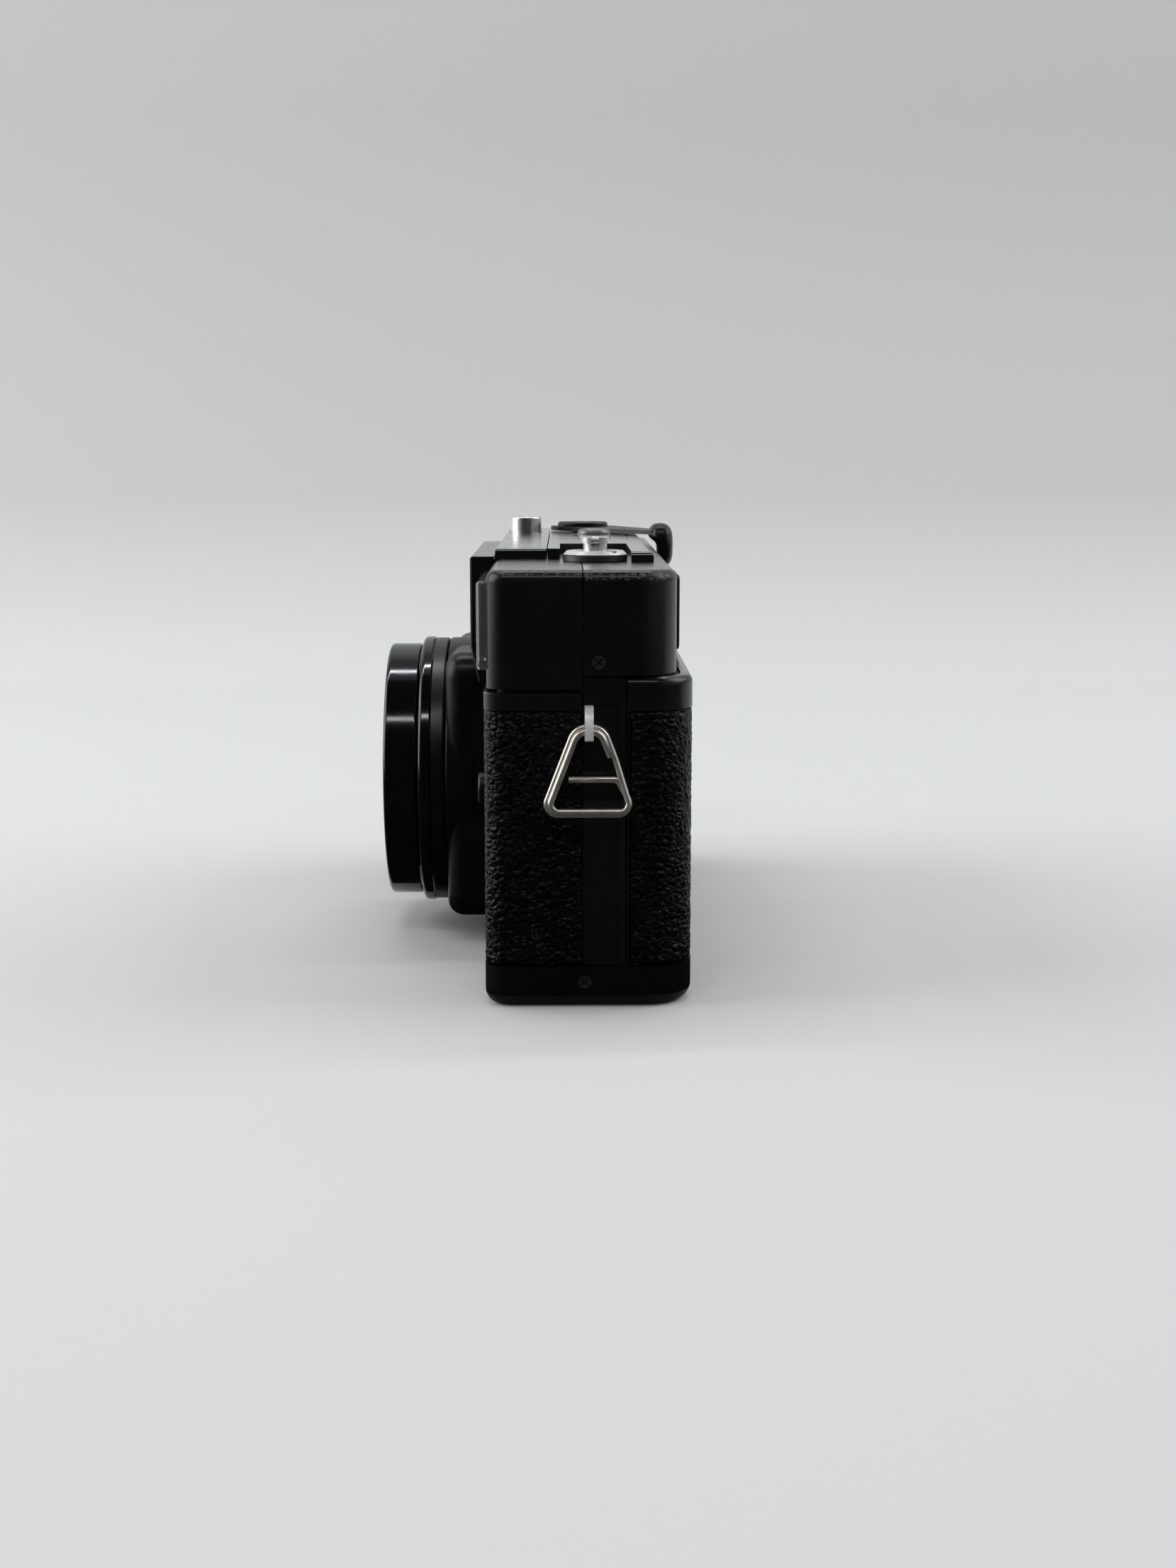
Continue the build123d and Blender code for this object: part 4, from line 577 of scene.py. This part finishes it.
class StudioLook(bpy.types.PropertyGroup):
    """Floor and light of the studio."""

    floor_colour: FloatVectorProperty(
        name="Floor colour", description="Colour of the floor",
        size=3, subtype="COLOR", default=(0.65, 0.658, 0.66), min=0, max=1)
    wall_colour: FloatVectorProperty(
        name="Wall colour", description="Colour of the backdrop above the floor",
        size=3, subtype="COLOR", default=(0.515, 0.52, 0.505), min=0, max=1)
    lamp_power: FloatProperty(
        name="Lamp power", description="Power of each soft side lamp, in watts",
        default=5.4, min=0.0, max=100.0)


FINISHES = {}


# ======== operators
class RANGEFINDER_OT_finishes(bpy.types.Operator):
    """Gives every carried-over CAD part its finish"""

    bl_idname = "rangefinder.finishes"
    bl_label = "Finish the parts"

    def execute(self, context):
        FINISHES.update(make_finishes(context.scene.camera_look))
        for finish, nodes in NODE_FINISHES.items():
            for node in nodes:
                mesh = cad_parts[node].data
                mesh.materials.clear()
                mesh.materials.append(FINISHES[finish])
        unfinished = set(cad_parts) - {n for nodes in NODE_FINISHES.values() for n in nodes}
        if unfinished:
            raise RuntimeError(f"no finish for {sorted(unfinished)}")
        return {"FINISHED"}


def plan_path(corner_points, radii, cell):
    """Points about one cell apart along a plan outline with rounded corners: their run along it,
    their places and the outward direction at each."""
    fine = round_corners(corner_points, radii, 60)
    step = np.linalg.norm(np.diff(fine, axis=0), axis=1)
    length = np.concatenate([[0], np.cumsum(step)])
    s = np.linspace(0, length[-1], int(round(length[-1] / cell)) + 1)
    path = np.stack([np.interp(s, length, fine[:, i]) for i in range(2)], -1)
    along = np.gradient(path, axis=0)
    along /= np.linalg.norm(along, axis=1)[:, None]
    return s, path, np.stack([along[:, 1], -along[:, 0]], -1)


COARSE_WAVES, COARSE_PEAK, COARSE_SHARE = (2.4, 1.3), 1.3, 0.62
FINE_WAVES, FINE_PEAK, FINE_SHARE = (1.5, 0.9), 1.2, 0.38
CROWN_POWER = 0.8
EDGE_DROP, EDGE_WIDTH = 0.2, 0.28
COVERING_DEPTH = 0.7


def grain_crowns(shape, cell, seed):
    """Height of the grain between 0 and 1: two bands of noise, each folded where it crosses zero,
    so that a crease runs there, and cut off at its peak."""
    coarse = np.abs(band_noise(shape, cell, *COARSE_WAVES, seed))
    fine = np.abs(band_noise(shape, cell, *FINE_WAVES, seed + 1))
    crowns = (COARSE_SHARE * np.minimum(coarse, COARSE_PEAK) / COARSE_PEAK
              + FINE_SHARE * np.minimum(fine, FINE_PEAK) / FINE_PEAK)
    return np.clip(crowns, 0, 1) ** CROWN_POWER


def cut_hole(outer, inner, out, hole, cell):
    """Cells kept around a round hole in the front run of a covering; the points at its border
    move along their radius onto the circle, in both sheets."""
    x, z_mid, radius = hole
    away = outer[..., [0, 2]] - (x, z_mid)
    distance = np.linalg.norm(away, axis=-1)
    on_front = np.abs(out[:, 1:2]) > 0.99
    cell_away = (away[:-1, :-1] + away[1:, 1:]) / 2
    kept = ~((np.linalg.norm(cell_away, axis=-1) < radius) & on_front[:-1])
    touched = np.zeros(distance.shape, bool)
    for rows in (slice(None, -1), slice(1, None)):
        for columns in (slice(None, -1), slice(1, None)):
            touched[rows, columns] |= ~kept
    near = (distance > radius - 1.1 * cell) & (distance < radius + 0.75 * cell) & on_front
    scale = np.where(distance < radius + 0.6 * cell, radius / np.maximum(distance, 0.1), 1.0)
    border = touched & near
    for sheet in (outer, inner):
        for axis, middle, part in ((0, x, away[..., 0]), (2, z_mid, away[..., 1])):
            sheet[..., axis] = np.where(border, middle + part * scale, sheet[..., axis])
    return kept


def covering(corner_points, radii, low, high, look, seed, hole=None):
    """Sheet of covering on a plan outline: a point at run s and height z lies on the outline,
    drawn inwards by the grain and turned down at the sheet's edges. Hole is the x, the height
    and the radius of an opening."""
    cell = look.grain_cell
    s, path, out = plan_path(corner_points, radii, cell)
    z = np.linspace(low, high, int(round((high - low) / cell)) + 1)
    shape = (len(s), len(z))
    crowns = grain_crowns(shape, cell, seed)
    edge = np.minimum(np.minimum(s, s[-1] - s)[:, None], np.minimum(z - low, high - z)[None, :])
    depth = look.grain_depth * (1 - crowns) + EDGE_DROP * np.exp(-edge / EDGE_WIDTH)
    outer = np.empty((*shape, 3))
    outer[..., :2] = path[:, None] - depth[..., None] * out[:, None]
    outer[..., 2] = z
    inner = outer.copy()
    inner[..., :2] = (path - COVERING_DEPTH * out)[:, None]
    kept = np.ones((shape[0] - 1, shape[1] - 1), bool)
    if hole is not None:
        kept = cut_hole(outer, inner, out, hole, cell)
    points, faces, used = slab(outer, inner, kept)
    # The crowns' height goes along as the grain attribute, which steers the painted shade in the
    # creases.
    height = np.concatenate([crowns.ravel(), np.zeros(crowns.size)])[used]
    return points, outward(points, faces), height


class RANGEFINDER_OT_coverings(bpy.types.Operator):
    """Makes the grained coverings of the front and the film door"""

    bl_idname = "rangefinder.coverings"
    bl_label = "Coverings"

    under_housing = 0.2
    front_corner, back_corner = 3.6, 7.7
    button_gap = 0.3
    front_seed, door_seed = 11, 31

    def front(self, look):
        """The front covering: one sheet at each side of the lens, round the camera's corner."""
        low, high = corners("front_leatherette")
        start, end = low[1], high[1]
        button_low, button_high = corners("front_button")
        button = (button_low + button_high) / 2
        opening = (button[0], button[2],
                   (button_high[0] - button_low[0]) / 2 + self.button_gap)
        inner = corners("lens_housing")[1][0] - self.under_housing
        outline = [(inner, start), (HALF_WIDTH, start), (HALF_WIDTH, end)]
        points, faces, heights = [], [], []
        shift = 0
        for side, hole in ((1, opening), (-1, None)):
            p, f, h = covering(outline, (0, self.front_corner, 0), low[2], high[2],
                               look, self.front_seed + side, hole)
            if side < 0:
                p = p * (-1, 1, 1)
                f = f[:, ::-1]
            points.append(p)
            faces.append(f + shift)
            heights.append(h)
            shift += len(p)
        make_piece("front_covering", np.vstack(points), np.vstack(faces), "camera_body",
                   FINISHES["leather"], ["front_leatherette"],
                   attribute=("grain", np.concatenate(heights)))

    def door(self, look):
        """The film door's covering, from its hinge to round the rewind end's corner."""
        low, high = corners("door_leatherette")
        start, back = low[1], high[1]
        outline = [(HALF_WIDTH, start), (HALF_WIDTH, back), (low[0], back)]
        p, f, h = covering(outline, (0, self.back_corner, 0), low[2], high[2],
                           look, self.door_seed)
        make_piece("door_covering", p, f, "film_door", FINISHES["leather"],
                   ["door_leatherette"], attribute=("grain", h))

    def execute(self, context):
        self.front(context.scene.camera_look)
        self.door(context.scene.camera_look)
        return {"FINISHED"}


class RANGEFINDER_OT_strap_rings(bpy.types.Operator):
    """Bends the two split strap rings from one wire each"""

    bl_idname = "rangefinder.strap_rings"
    bl_label = "Strap rings"

    wire = 0.52
    half_top, half_base = 2.2, 7.7
    front_turn_smaller = 0.6
    end_drop, spur_drop = 4.8, 8.6
    spur_end = -3.3
    bend_radii = (0, 2.4, 2.4, 1.35, 1.35, 6.0, 3.0, 3.0, 1.8, 1.8, 1.0, 0)

    def wire_path(self):
        """Middle line of the wire: a smaller triangle in front, a larger one behind it, and a
        level spur across the larger one."""
        low, high = corners("strap_ring_rewind")
        top, base = high[2] - self.wire, low[2] + self.wire
        behind, front = low[0] + self.wire, high[0] - self.wire
        half_top, half_base, small = self.half_top, self.half_base, self.front_turn_smaller
        lean = (half_base - half_top) / (top - base)
        z_end, z_spur = top - self.end_drop, top - self.spur_drop
        z_join = z_end - 0.6

        def right_side(z, inside=0.0):
            return half_top + lean * (top - z) - inside

        small_top, small_base = half_top - 0.69 * small, half_base - 1.44 * small
        path = [(front, right_side(z_end, 1.07 * small), z_end),
                (front, small_top, top - small), (front, -small_top, top - small),
                (front, -small_base, base + small), (front, small_base, base + small),
                (behind, right_side(z_join), z_join),
                (behind, half_top, top), (behind, -half_top, top),
                (behind, -half_base, base), (behind, half_base, base),
                (behind, right_side(z_spur, 0.9), z_spur), (behind, self.spur_end, z_spur)]
        return round_corners(path, self.bend_radii, 12)

    def execute(self, context):
        sides = context.scene.camera_look.ring_sides
        path = self.wire_path()
        angles = np.linspace(0, 2 * math.pi, sides, endpoint=False)
        profile = self.wire * np.stack([np.cos(angles), np.sin(angles)], -1)
        rows = len(path)
        points = carried(path, profile, (1.0, 0.0, 0.0)).reshape(-1, 3)
        faces = outward(points, grid_quads(rows, sides, wrap_columns=True))
        caps = [list(range(sides)), list(range((rows - 1) * sides, rows * sides))]
        for side, ring in ((1, "strap_ring_rewind"), (-1, "strap_ring_wind")):
            turned = faces if side > 0 else faces[:, ::-1]
            piece = make_piece(ring + "_wire", points * (side, 1, 1),
                               [list(q) for q in turned] + caps, ring, FINISHES["nickel"],
                               [ring])
            fix_normals(piece)
        return {"FINISHED"}


class RANGEFINDER_OT_lens(bpy.types.Operator):
    """Turns the lens's threaded front ring, focusing ring, housing collar and ribbed cone"""

    bl_idname = "rangefinder.lens"
    bl_label = "Lens"

    hole, tube = 15.0, 18.9
    ring_wall, ring_length, seat_depth = 1.2, 6.1, 3.6
    pitch, threads, thread_depth, thread_start = 0.75, 4, 0.34, 0.45
    seat_rib, seat_points = 0.16, 21
    grip_height, lip_length = 4.47, 2.15
    collar_hole, collar_length = 22.0, 5.1
    collar_proud, collar_ahead = 0.75, 0.15
    cone_hole, cone_steps, cone_rib = 12.8, 15, 0.09

    def turned(self, name, corner_points, radii, body, finish, replaced, segments=192):
        """A closed (radius, y) outline with rounded corners, turned about the lens axis."""
        profile = round_corners(corner_points, radii, 6, closed=True, hold=0.06)
        grid = spun(profile, (0, 0, LENS_Z), 1, segments)
        quads = grid_quads(*grid.shape[:2], wrap_rows=True, wrap_columns=True)
        return make_piece(name, grid, outward(grid, quads), body, FINISHES[finish],
                          replaced)

    def front_ring(self):
        """The barrel with rounded lips, V-shaped turns of thread in its mouth, and a seat whose
        surface steps up and down in fine rings."""
        low, high = corners("lens_barrel")
        front, back, ring = low[1], high[1], high[0]
        hole, tube, bore = self.hole, self.tube, ring - self.ring_wall
        ring_back, seat = front + self.ring_length, front + self.seat_depth
        starts = front + self.thread_start + self.pitch * np.arange(self.threads)
        thread_r = np.tile([bore, bore + self.thread_depth, bore], (self.threads, 1))
        thread_y = starts[:, None] + np.array([0.0, self.pitch / 2, self.pitch - 0.02])
        thread = np.stack([thread_r, thread_y], -1).reshape(-1, 2)
        seat_r = np.linspace(bore - 0.1, tube + 0.2, self.seat_points)
        seat_y = seat - self.seat_rib * (np.arange(self.seat_points) % 2)
        outline = np.vstack([[(hole, back), (tube, back), (tube, ring_back), (ring, ring_back),
                              (ring, front), (bore, front)], thread, [(bore, seat)],
                             np.stack([seat_r, seat_y], -1),
                             [(tube, seat), (tube, ring_back + 0.2), (hole, ring_back + 0.2)]])
        radii = np.zeros(len(outline))
        radii[3:6] = 0.55, 0.75, 0.12
        self.turned("lens_front_ring", outline, radii, "lens_group", "ring_gloss",
                    ["lens_barrel"])

    def focusing_ring(self):
        """The ring's glossy lip and satin band, with a fine groove between them."""
        low, high = corners("focus_ring")
        front, back, lip = low[1], high[1], high[0]
        sleeve, split = lip - self.grip_height, front + self.lip_length
        groove, band = split + 0.16, lip - 0.25
        self.turned("focus_ring_lip",
                    [(sleeve, split), (lip, split), (lip, front), (sleeve, front)],
                    (0, 0.15, 0.85, 0), "focus_ring", "ring_gloss", ["focus_ring"])
        self.turned("focus_ring_band",
                    [(sleeve, back), (band, back), (band, groove), (sleeve, groove)],
                    (0, 0.5, 0.12, 0), "focus_ring", "ring_satin", ["focus_ring"])

    def collar(self):
        """Plain ring round the lens housing's front, a little proud of its sides and face."""
        low, high = corners("lens_housing")
        inner, outer = self.collar_hole, high[0] + self.collar_proud
        front = low[1] - self.collar_ahead
        back = front + self.collar_length
        self.turned("lens_collar", [(inner, back), (outer, back), (outer, front), (inner, front)],
                    (0, 0.05, 0.5, 0), "camera_body", "housing", ())

    def cone(self):
        """Funnel from the ring to the front lens, whose wall steps in and out in fine ribs."""
        low, high = corners("front_cone")
        front, back, outer = low[1], high[1], high[0]
        count, mouth = 2 * self.cone_steps + 1, outer - 0.3
        t = np.linspace(0, 1, count)
        wall_r = mouth + (self.cone_hole - mouth) * t
        wall_y = front + (back - 0.6 - front) * t + self.cone_rib * (np.arange(count) % 2)
        outline = np.vstack([[(outer, back), (outer, front)], np.stack([wall_r, wall_y], -1),
                             [(self.cone_hole, back)]])
        self.turned("front_cone_ribs", outline, np.zeros(len(outline)), "lens_group",
                    "anodised", ["front_cone"], 128)

    def execute(self, context):
        self.front_ring()
        self.focusing_ring()
        self.collar()
        self.cone()
        return {"FINISHED"}


class RANGEFINDER_OT_lever_tip(bpy.types.Operator):
    """Moulds the thumb tip of the film advance lever"""

    bl_idname = "rangefinder.lever_tip"
    bl_label = "Lever tip"

    rows, sides = 40, 56
    foot_up, top_up, back_in, front_in = 1.7, 1.2, 1.8, 0.2
    lip_down, lip_softness, lip_reach = 2.2, 0.35, 1.9

    def execute(self, context):
        """Each level is a rounded rectangle: powers of cosine and sine square it off, its size
        falls to nothing at both ends, and a smooth step moves its front edge out at the lip."""
        low, high = corners("lever_tip")
        centre_x, half_x = (low[0] + high[0]) / 2, (high[0] - low[0]) / 2
        bottom, top = low[2] + self.foot_up, high[2] + self.top_up
        back = high[1] - self.back_in
        rise = np.linspace(-1, 1, self.rows)[1:-1]
        height = (bottom + top) / 2 + (top - bottom) / 2 * rise
        size = (1 - np.abs(rise) ** 3.2) ** (1 / 2.4)
        lip_height = high[2] - self.lip_down
        lip = 1 / (1 + np.exp(-(height - lip_height) / self.lip_softness))
        front = low[1] + self.front_in - self.lip_reach * lip
        turn = np.linspace(0, 2 * math.pi, self.sides, endpoint=False)
        cos, sin = np.cos(turn), np.sin(turn)
        across = np.sign(cos) * np.abs(cos) ** 0.62
        deep = np.sign(sin) * np.abs(sin) ** 0.72
        middle_y, half_y = (front + back) / 2, (back - front) / 2
        grid = np.empty((len(height), self.sides, 3))
        grid[..., 0] = centre_x + half_x * (0.35 + 0.65 * size)[:, None] * across
        grid[..., 1] = middle_y[:, None] + (half_y * size)[:, None] * deep
        grid[..., 2] = height[:, None]
        poles = [(centre_x, middle_y[0], bottom), (centre_x, middle_y[-1], top)]
        points = np.vstack([grid.reshape(-1, 3), poles])
        count = len(height) * self.sides
        last = count - self.sides
        step = np.arange(self.sides)
        after = (step + 1) % self.sides
        parts = (grid_quads(*grid.shape[:2], wrap_columns=True),
                 np.stack([np.full(self.sides, count), after, step], -1),
                 np.stack([np.full(self.sides, count + 1), last + step, last + after], -1))
        faces = [list(f) for part in parts for f in part]
        fix_normals(make_piece("lever_tip_moulded", points, faces, "advance_lever",
                               FINISHES["plastic"], ["lever_tip"]))
        return {"FINISHED"}


class RANGEFINDER_OT_release(bpy.types.Operator):
    """Turns the shutter release button with its soft rim and shallow dish"""

    bl_idname = "rangefinder.release"
    bl_label = "Shutter release"

    dish_radius, dish_depth, rim_radius = 2.35, 0.22, 2.6
    edge_round, skirt, stem_radius = 0.45, 4.9, 1.2

    def execute(self, context):
        low, high = corners("release_button")
        centre = (low + high) / 2
        radius, top, foot = (high[0] - low[0]) / 2, high[2], low[2]
        t = np.linspace(0, 1, 9)
        dish = np.stack([self.dish_radius * t, top - self.dish_depth * (1 - t ** 2)], -1)
        rim = [(self.dish_radius + 0.01, top - 0.005), (self.rim_radius, top)]
        turn = np.linspace(math.pi / 2, 0, 7)
        soft = self.edge_round
        edge = np.stack([radius - soft + soft * np.cos(turn), top - soft + soft * np.sin(turn)],
                        -1)
        under = top - self.skirt
        side = [(radius, top - 0.52), (radius, under + 0.1), (radius, under),
                (self.stem_radius, under), (self.stem_radius, foot), (0, foot)]
        profile = np.vstack([dish, rim, edge, side])
        points, faces = spun_solid(profile, (centre[0], centre[1], 0), 2, 72)
        fix_normals(make_piece("release_button_turned", points, faces, "shutter_release",
                               FINISHES["satin_chrome"], ["release_button"]))
        return {"FINISHED"}


def stage_piece(name, points, faces, material):
    """New object for the stage from points in millimetres; it isn't part of the camera."""
    mesh = bpy.data.meshes.new(name)
    mesh.from_pydata((np.asarray(points, float).reshape(-1, 3) * MM).tolist(), [], faces.tolist())
    mesh.materials.append(material)
    piece = bpy.data.objects.new(name, mesh)
    bpy.context.scene.collection.objects.link(piece)
    return piece


class RANGEFINDER_OT_studio(bpy.types.Operator):
    """Sets up the pale floor and backdrop, the soft lamps and the camera"""

    bl_idname = "rangefinder.studio"
    bl_label = "Studio"

    floor_z, sweep_radius, sweep_half = -0.05, 250, 1200
    sweep_ends = (900, -620, 950)
    blend_heights = (4, 70)
    room_colour = (0.62, 0.625, 0.63, 1)
    room_light, room_seen = 0.46, 0.92
    card_path = ((8, 2), (950, 2), (950, 560), (950, 1250), (-120, 1250))
    card_half = 900
    cool, white = (0.92, 0.96, 1.0), (1.0, 1.0, 1.0)
    aim = (0, 0, 0.04)
    eye = (0.3966, -0.00395, 0.0913)
    eye_down, eye_turned = 9.248, 0.656
    focal_length, sensor_width = 47.28, 36.0

    def floor(self, look):
        """Floor that sweeps up into a backdrop; its colour changes softly with the height."""
        n = Nodes("floor_paper")
        paper = n.blend(n.span(n.axis("Z"), *self.blend_heights), tuple(look.floor_colour),
                        tuple(look.wall_colour))
        paper = n.set(Base_Color=paper, Roughness=0.8, Specular_IOR_Level=0.2)
        near, far, height = self.sweep_ends
        sweep = round_corners([(near, 0, self.floor_z), (far, 0, self.floor_z), (far, 0, height)],
                              [0, self.sweep_radius, 0], 24)
        across = np.linspace(-self.sweep_half, self.sweep_half, 3)
        points = sweep[:, None] + np.stack([np.zeros(3), across, np.zeros(3)], -1)[None]
        floor = stage_piece("floor", points, grid_quads(len(sweep), 3), paper)
        floor.data.polygons.foreach_set("use_smooth", np.ones(len(floor.data.polygons), bool))

    def room(self, context):
        """Even light from all round; rays to the camera and through glass see it brighter."""
        world = bpy.data.worlds.new("room")
        context.scene.world = world
        world.use_nodes = True
        tree = world.node_tree
        room = tree.nodes["Background"]
        room.inputs["Color"].default_value = self.room_colour
        ray = tree.nodes.new("ShaderNodeLightPath")
        seen = tree.nodes.new("ShaderNodeMath")
        seen.operation = "MAXIMUM"
        tree.links.new(ray.outputs["Is Camera Ray"], seen.inputs[0])
        tree.links.new(ray.outputs["Is Transmission Ray"], seen.inputs[1])
        strength = tree.nodes.new("ShaderNodeMapRange")
        strength.inputs["To Min"].default_value = self.room_light
        strength.inputs["To Max"].default_value = self.room_seen
        tree.links.new(seen.outputs[0], strength.inputs["Value"])
        tree.links.new(strength.outputs[0], room.inputs["Strength"])

    def card(self):
        """Dark cloth beside the camera that only shows in glossy reflections."""
        cloth = Nodes("flag_cloth").set(Base_Color=grey(0.01), Roughness=0.9,
                                        Specular_IOR_Level=0.0)
        path = np.array([(x, -self.card_half, z) for x, z in self.card_path])
        points = path[:, None] + np.array([(0, 0, 0), (0, 2 * self.card_half, 0)])[None]
        card = stage_piece("flag", points, grid_quads(len(path), 2), cloth)
        for ray in ("camera", "diffuse", "transmission", "shadow"):
            setattr(card, "visible_" + ray, False)

    def lamps(self, context, power):
        """Two strip lamps above, and a soft lamp at each side."""
        for name, place, size, watts, colour in (
                ("lamp_far", (-280, -40, 960), (0.9, 0.05), 3.0, self.cool),
                ("lamp_near", (560, -40, 770), (0.8, 0.05), 1.3, self.white),
                ("lamp_left", (-40, -950, 460), (0.9, 0.9), 1.5 * power, self.white),
                ("lamp_right", (-150, 900, 750), (0.8, 0.8), power, self.white)):
            data = bpy.data.lights.new(name, "AREA")
            data.shape = "RECTANGLE"
            data.size, data.size_y = size
            data.energy, data.color = watts, colour
            lamp = bpy.data.objects.new(name, data)
            lamp.location = Vector(place) * MM
            lamp.rotation_mode = "QUATERNION"
            away = lamp.location - Vector(self.aim)
            lamp.rotation_quaternion = away.to_track_quat("Z", "Y")
            context.scene.collection.objects.link(lamp)

    def camera(self, context):
        """Camera at the rewind end, a little above it and looking down."""
        data = bpy.data.cameras.new("camera")
        data.lens, data.sensor_width = self.focal_length, self.sensor_width
        data.clip_start, data.clip_end = 0.01, 20.0
        camera = bpy.data.objects.new("camera", data)
        camera.location = self.eye
        down, turned = math.radians(self.eye_down), math.radians(self.eye_turned)
        level = math.cos(down)
        forward = Vector((-level * math.cos(turned), level * math.sin(turned), -math.sin(down)))
        camera.rotation_mode = "QUATERNION"
        camera.rotation_quaternion = forward.to_track_quat("-Z", "Y")
        context.scene.collection.objects.link(camera)
        context.scene.camera = camera

    def execute(self, context):
        look = context.scene.studio_look
        self.floor(look)
        self.room(context)
        self.card()
        self.lamps(context, look.lamp_power)
        self.camera(context)
        context.scene.view_settings.view_transform = "Standard"
        return {"FINISHED"}


class RANGEFINDER_PT_camera(bpy.types.Panel):
    """Lists the camera's pieces and settings in the sidebar"""

    bl_label = "Rangefinder Camera"
    bl_idname = "RANGEFINDER_PT_camera"
    bl_space_type = "VIEW_3D"
    bl_region_type = "UI"
    bl_category = "Camera"

    def draw(self, context):
        for settings in (context.scene.camera_look, context.scene.studio_look):
            box = self.layout.box()
            for key in settings.bl_rna.properties.keys():
                if key not in ("rna_type", "name"):
                    box.prop(settings, key)
        for operator in OPERATORS:
            self.layout.operator(operator.bl_idname)


OPERATORS = (RANGEFINDER_OT_finishes, RANGEFINDER_OT_coverings, RANGEFINDER_OT_strap_rings,
             RANGEFINDER_OT_lens, RANGEFINDER_OT_lever_tip, RANGEFINDER_OT_release,
             RANGEFINDER_OT_studio)
CLASSES = (CameraLook, StudioLook, *OPERATORS, RANGEFINDER_PT_camera)


def register():
    for item in CLASSES:
        bpy.utils.register_class(item)
    bpy.types.Scene.camera_look = PointerProperty(type=CameraLook)
    bpy.types.Scene.studio_look = PointerProperty(type=StudioLook)


def unregister():
    del bpy.types.Scene.studio_look
    del bpy.types.Scene.camera_look
    for item in reversed(CLASSES):
        bpy.utils.unregister_class(item)


def main():
    """Registers the add-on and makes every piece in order."""
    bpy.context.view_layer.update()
    register()
    for operator in OPERATORS:
        group, name = operator.bl_idname.split(".")
        getattr(getattr(bpy.ops, group), name)()


if __name__ == "__main__":
    main()
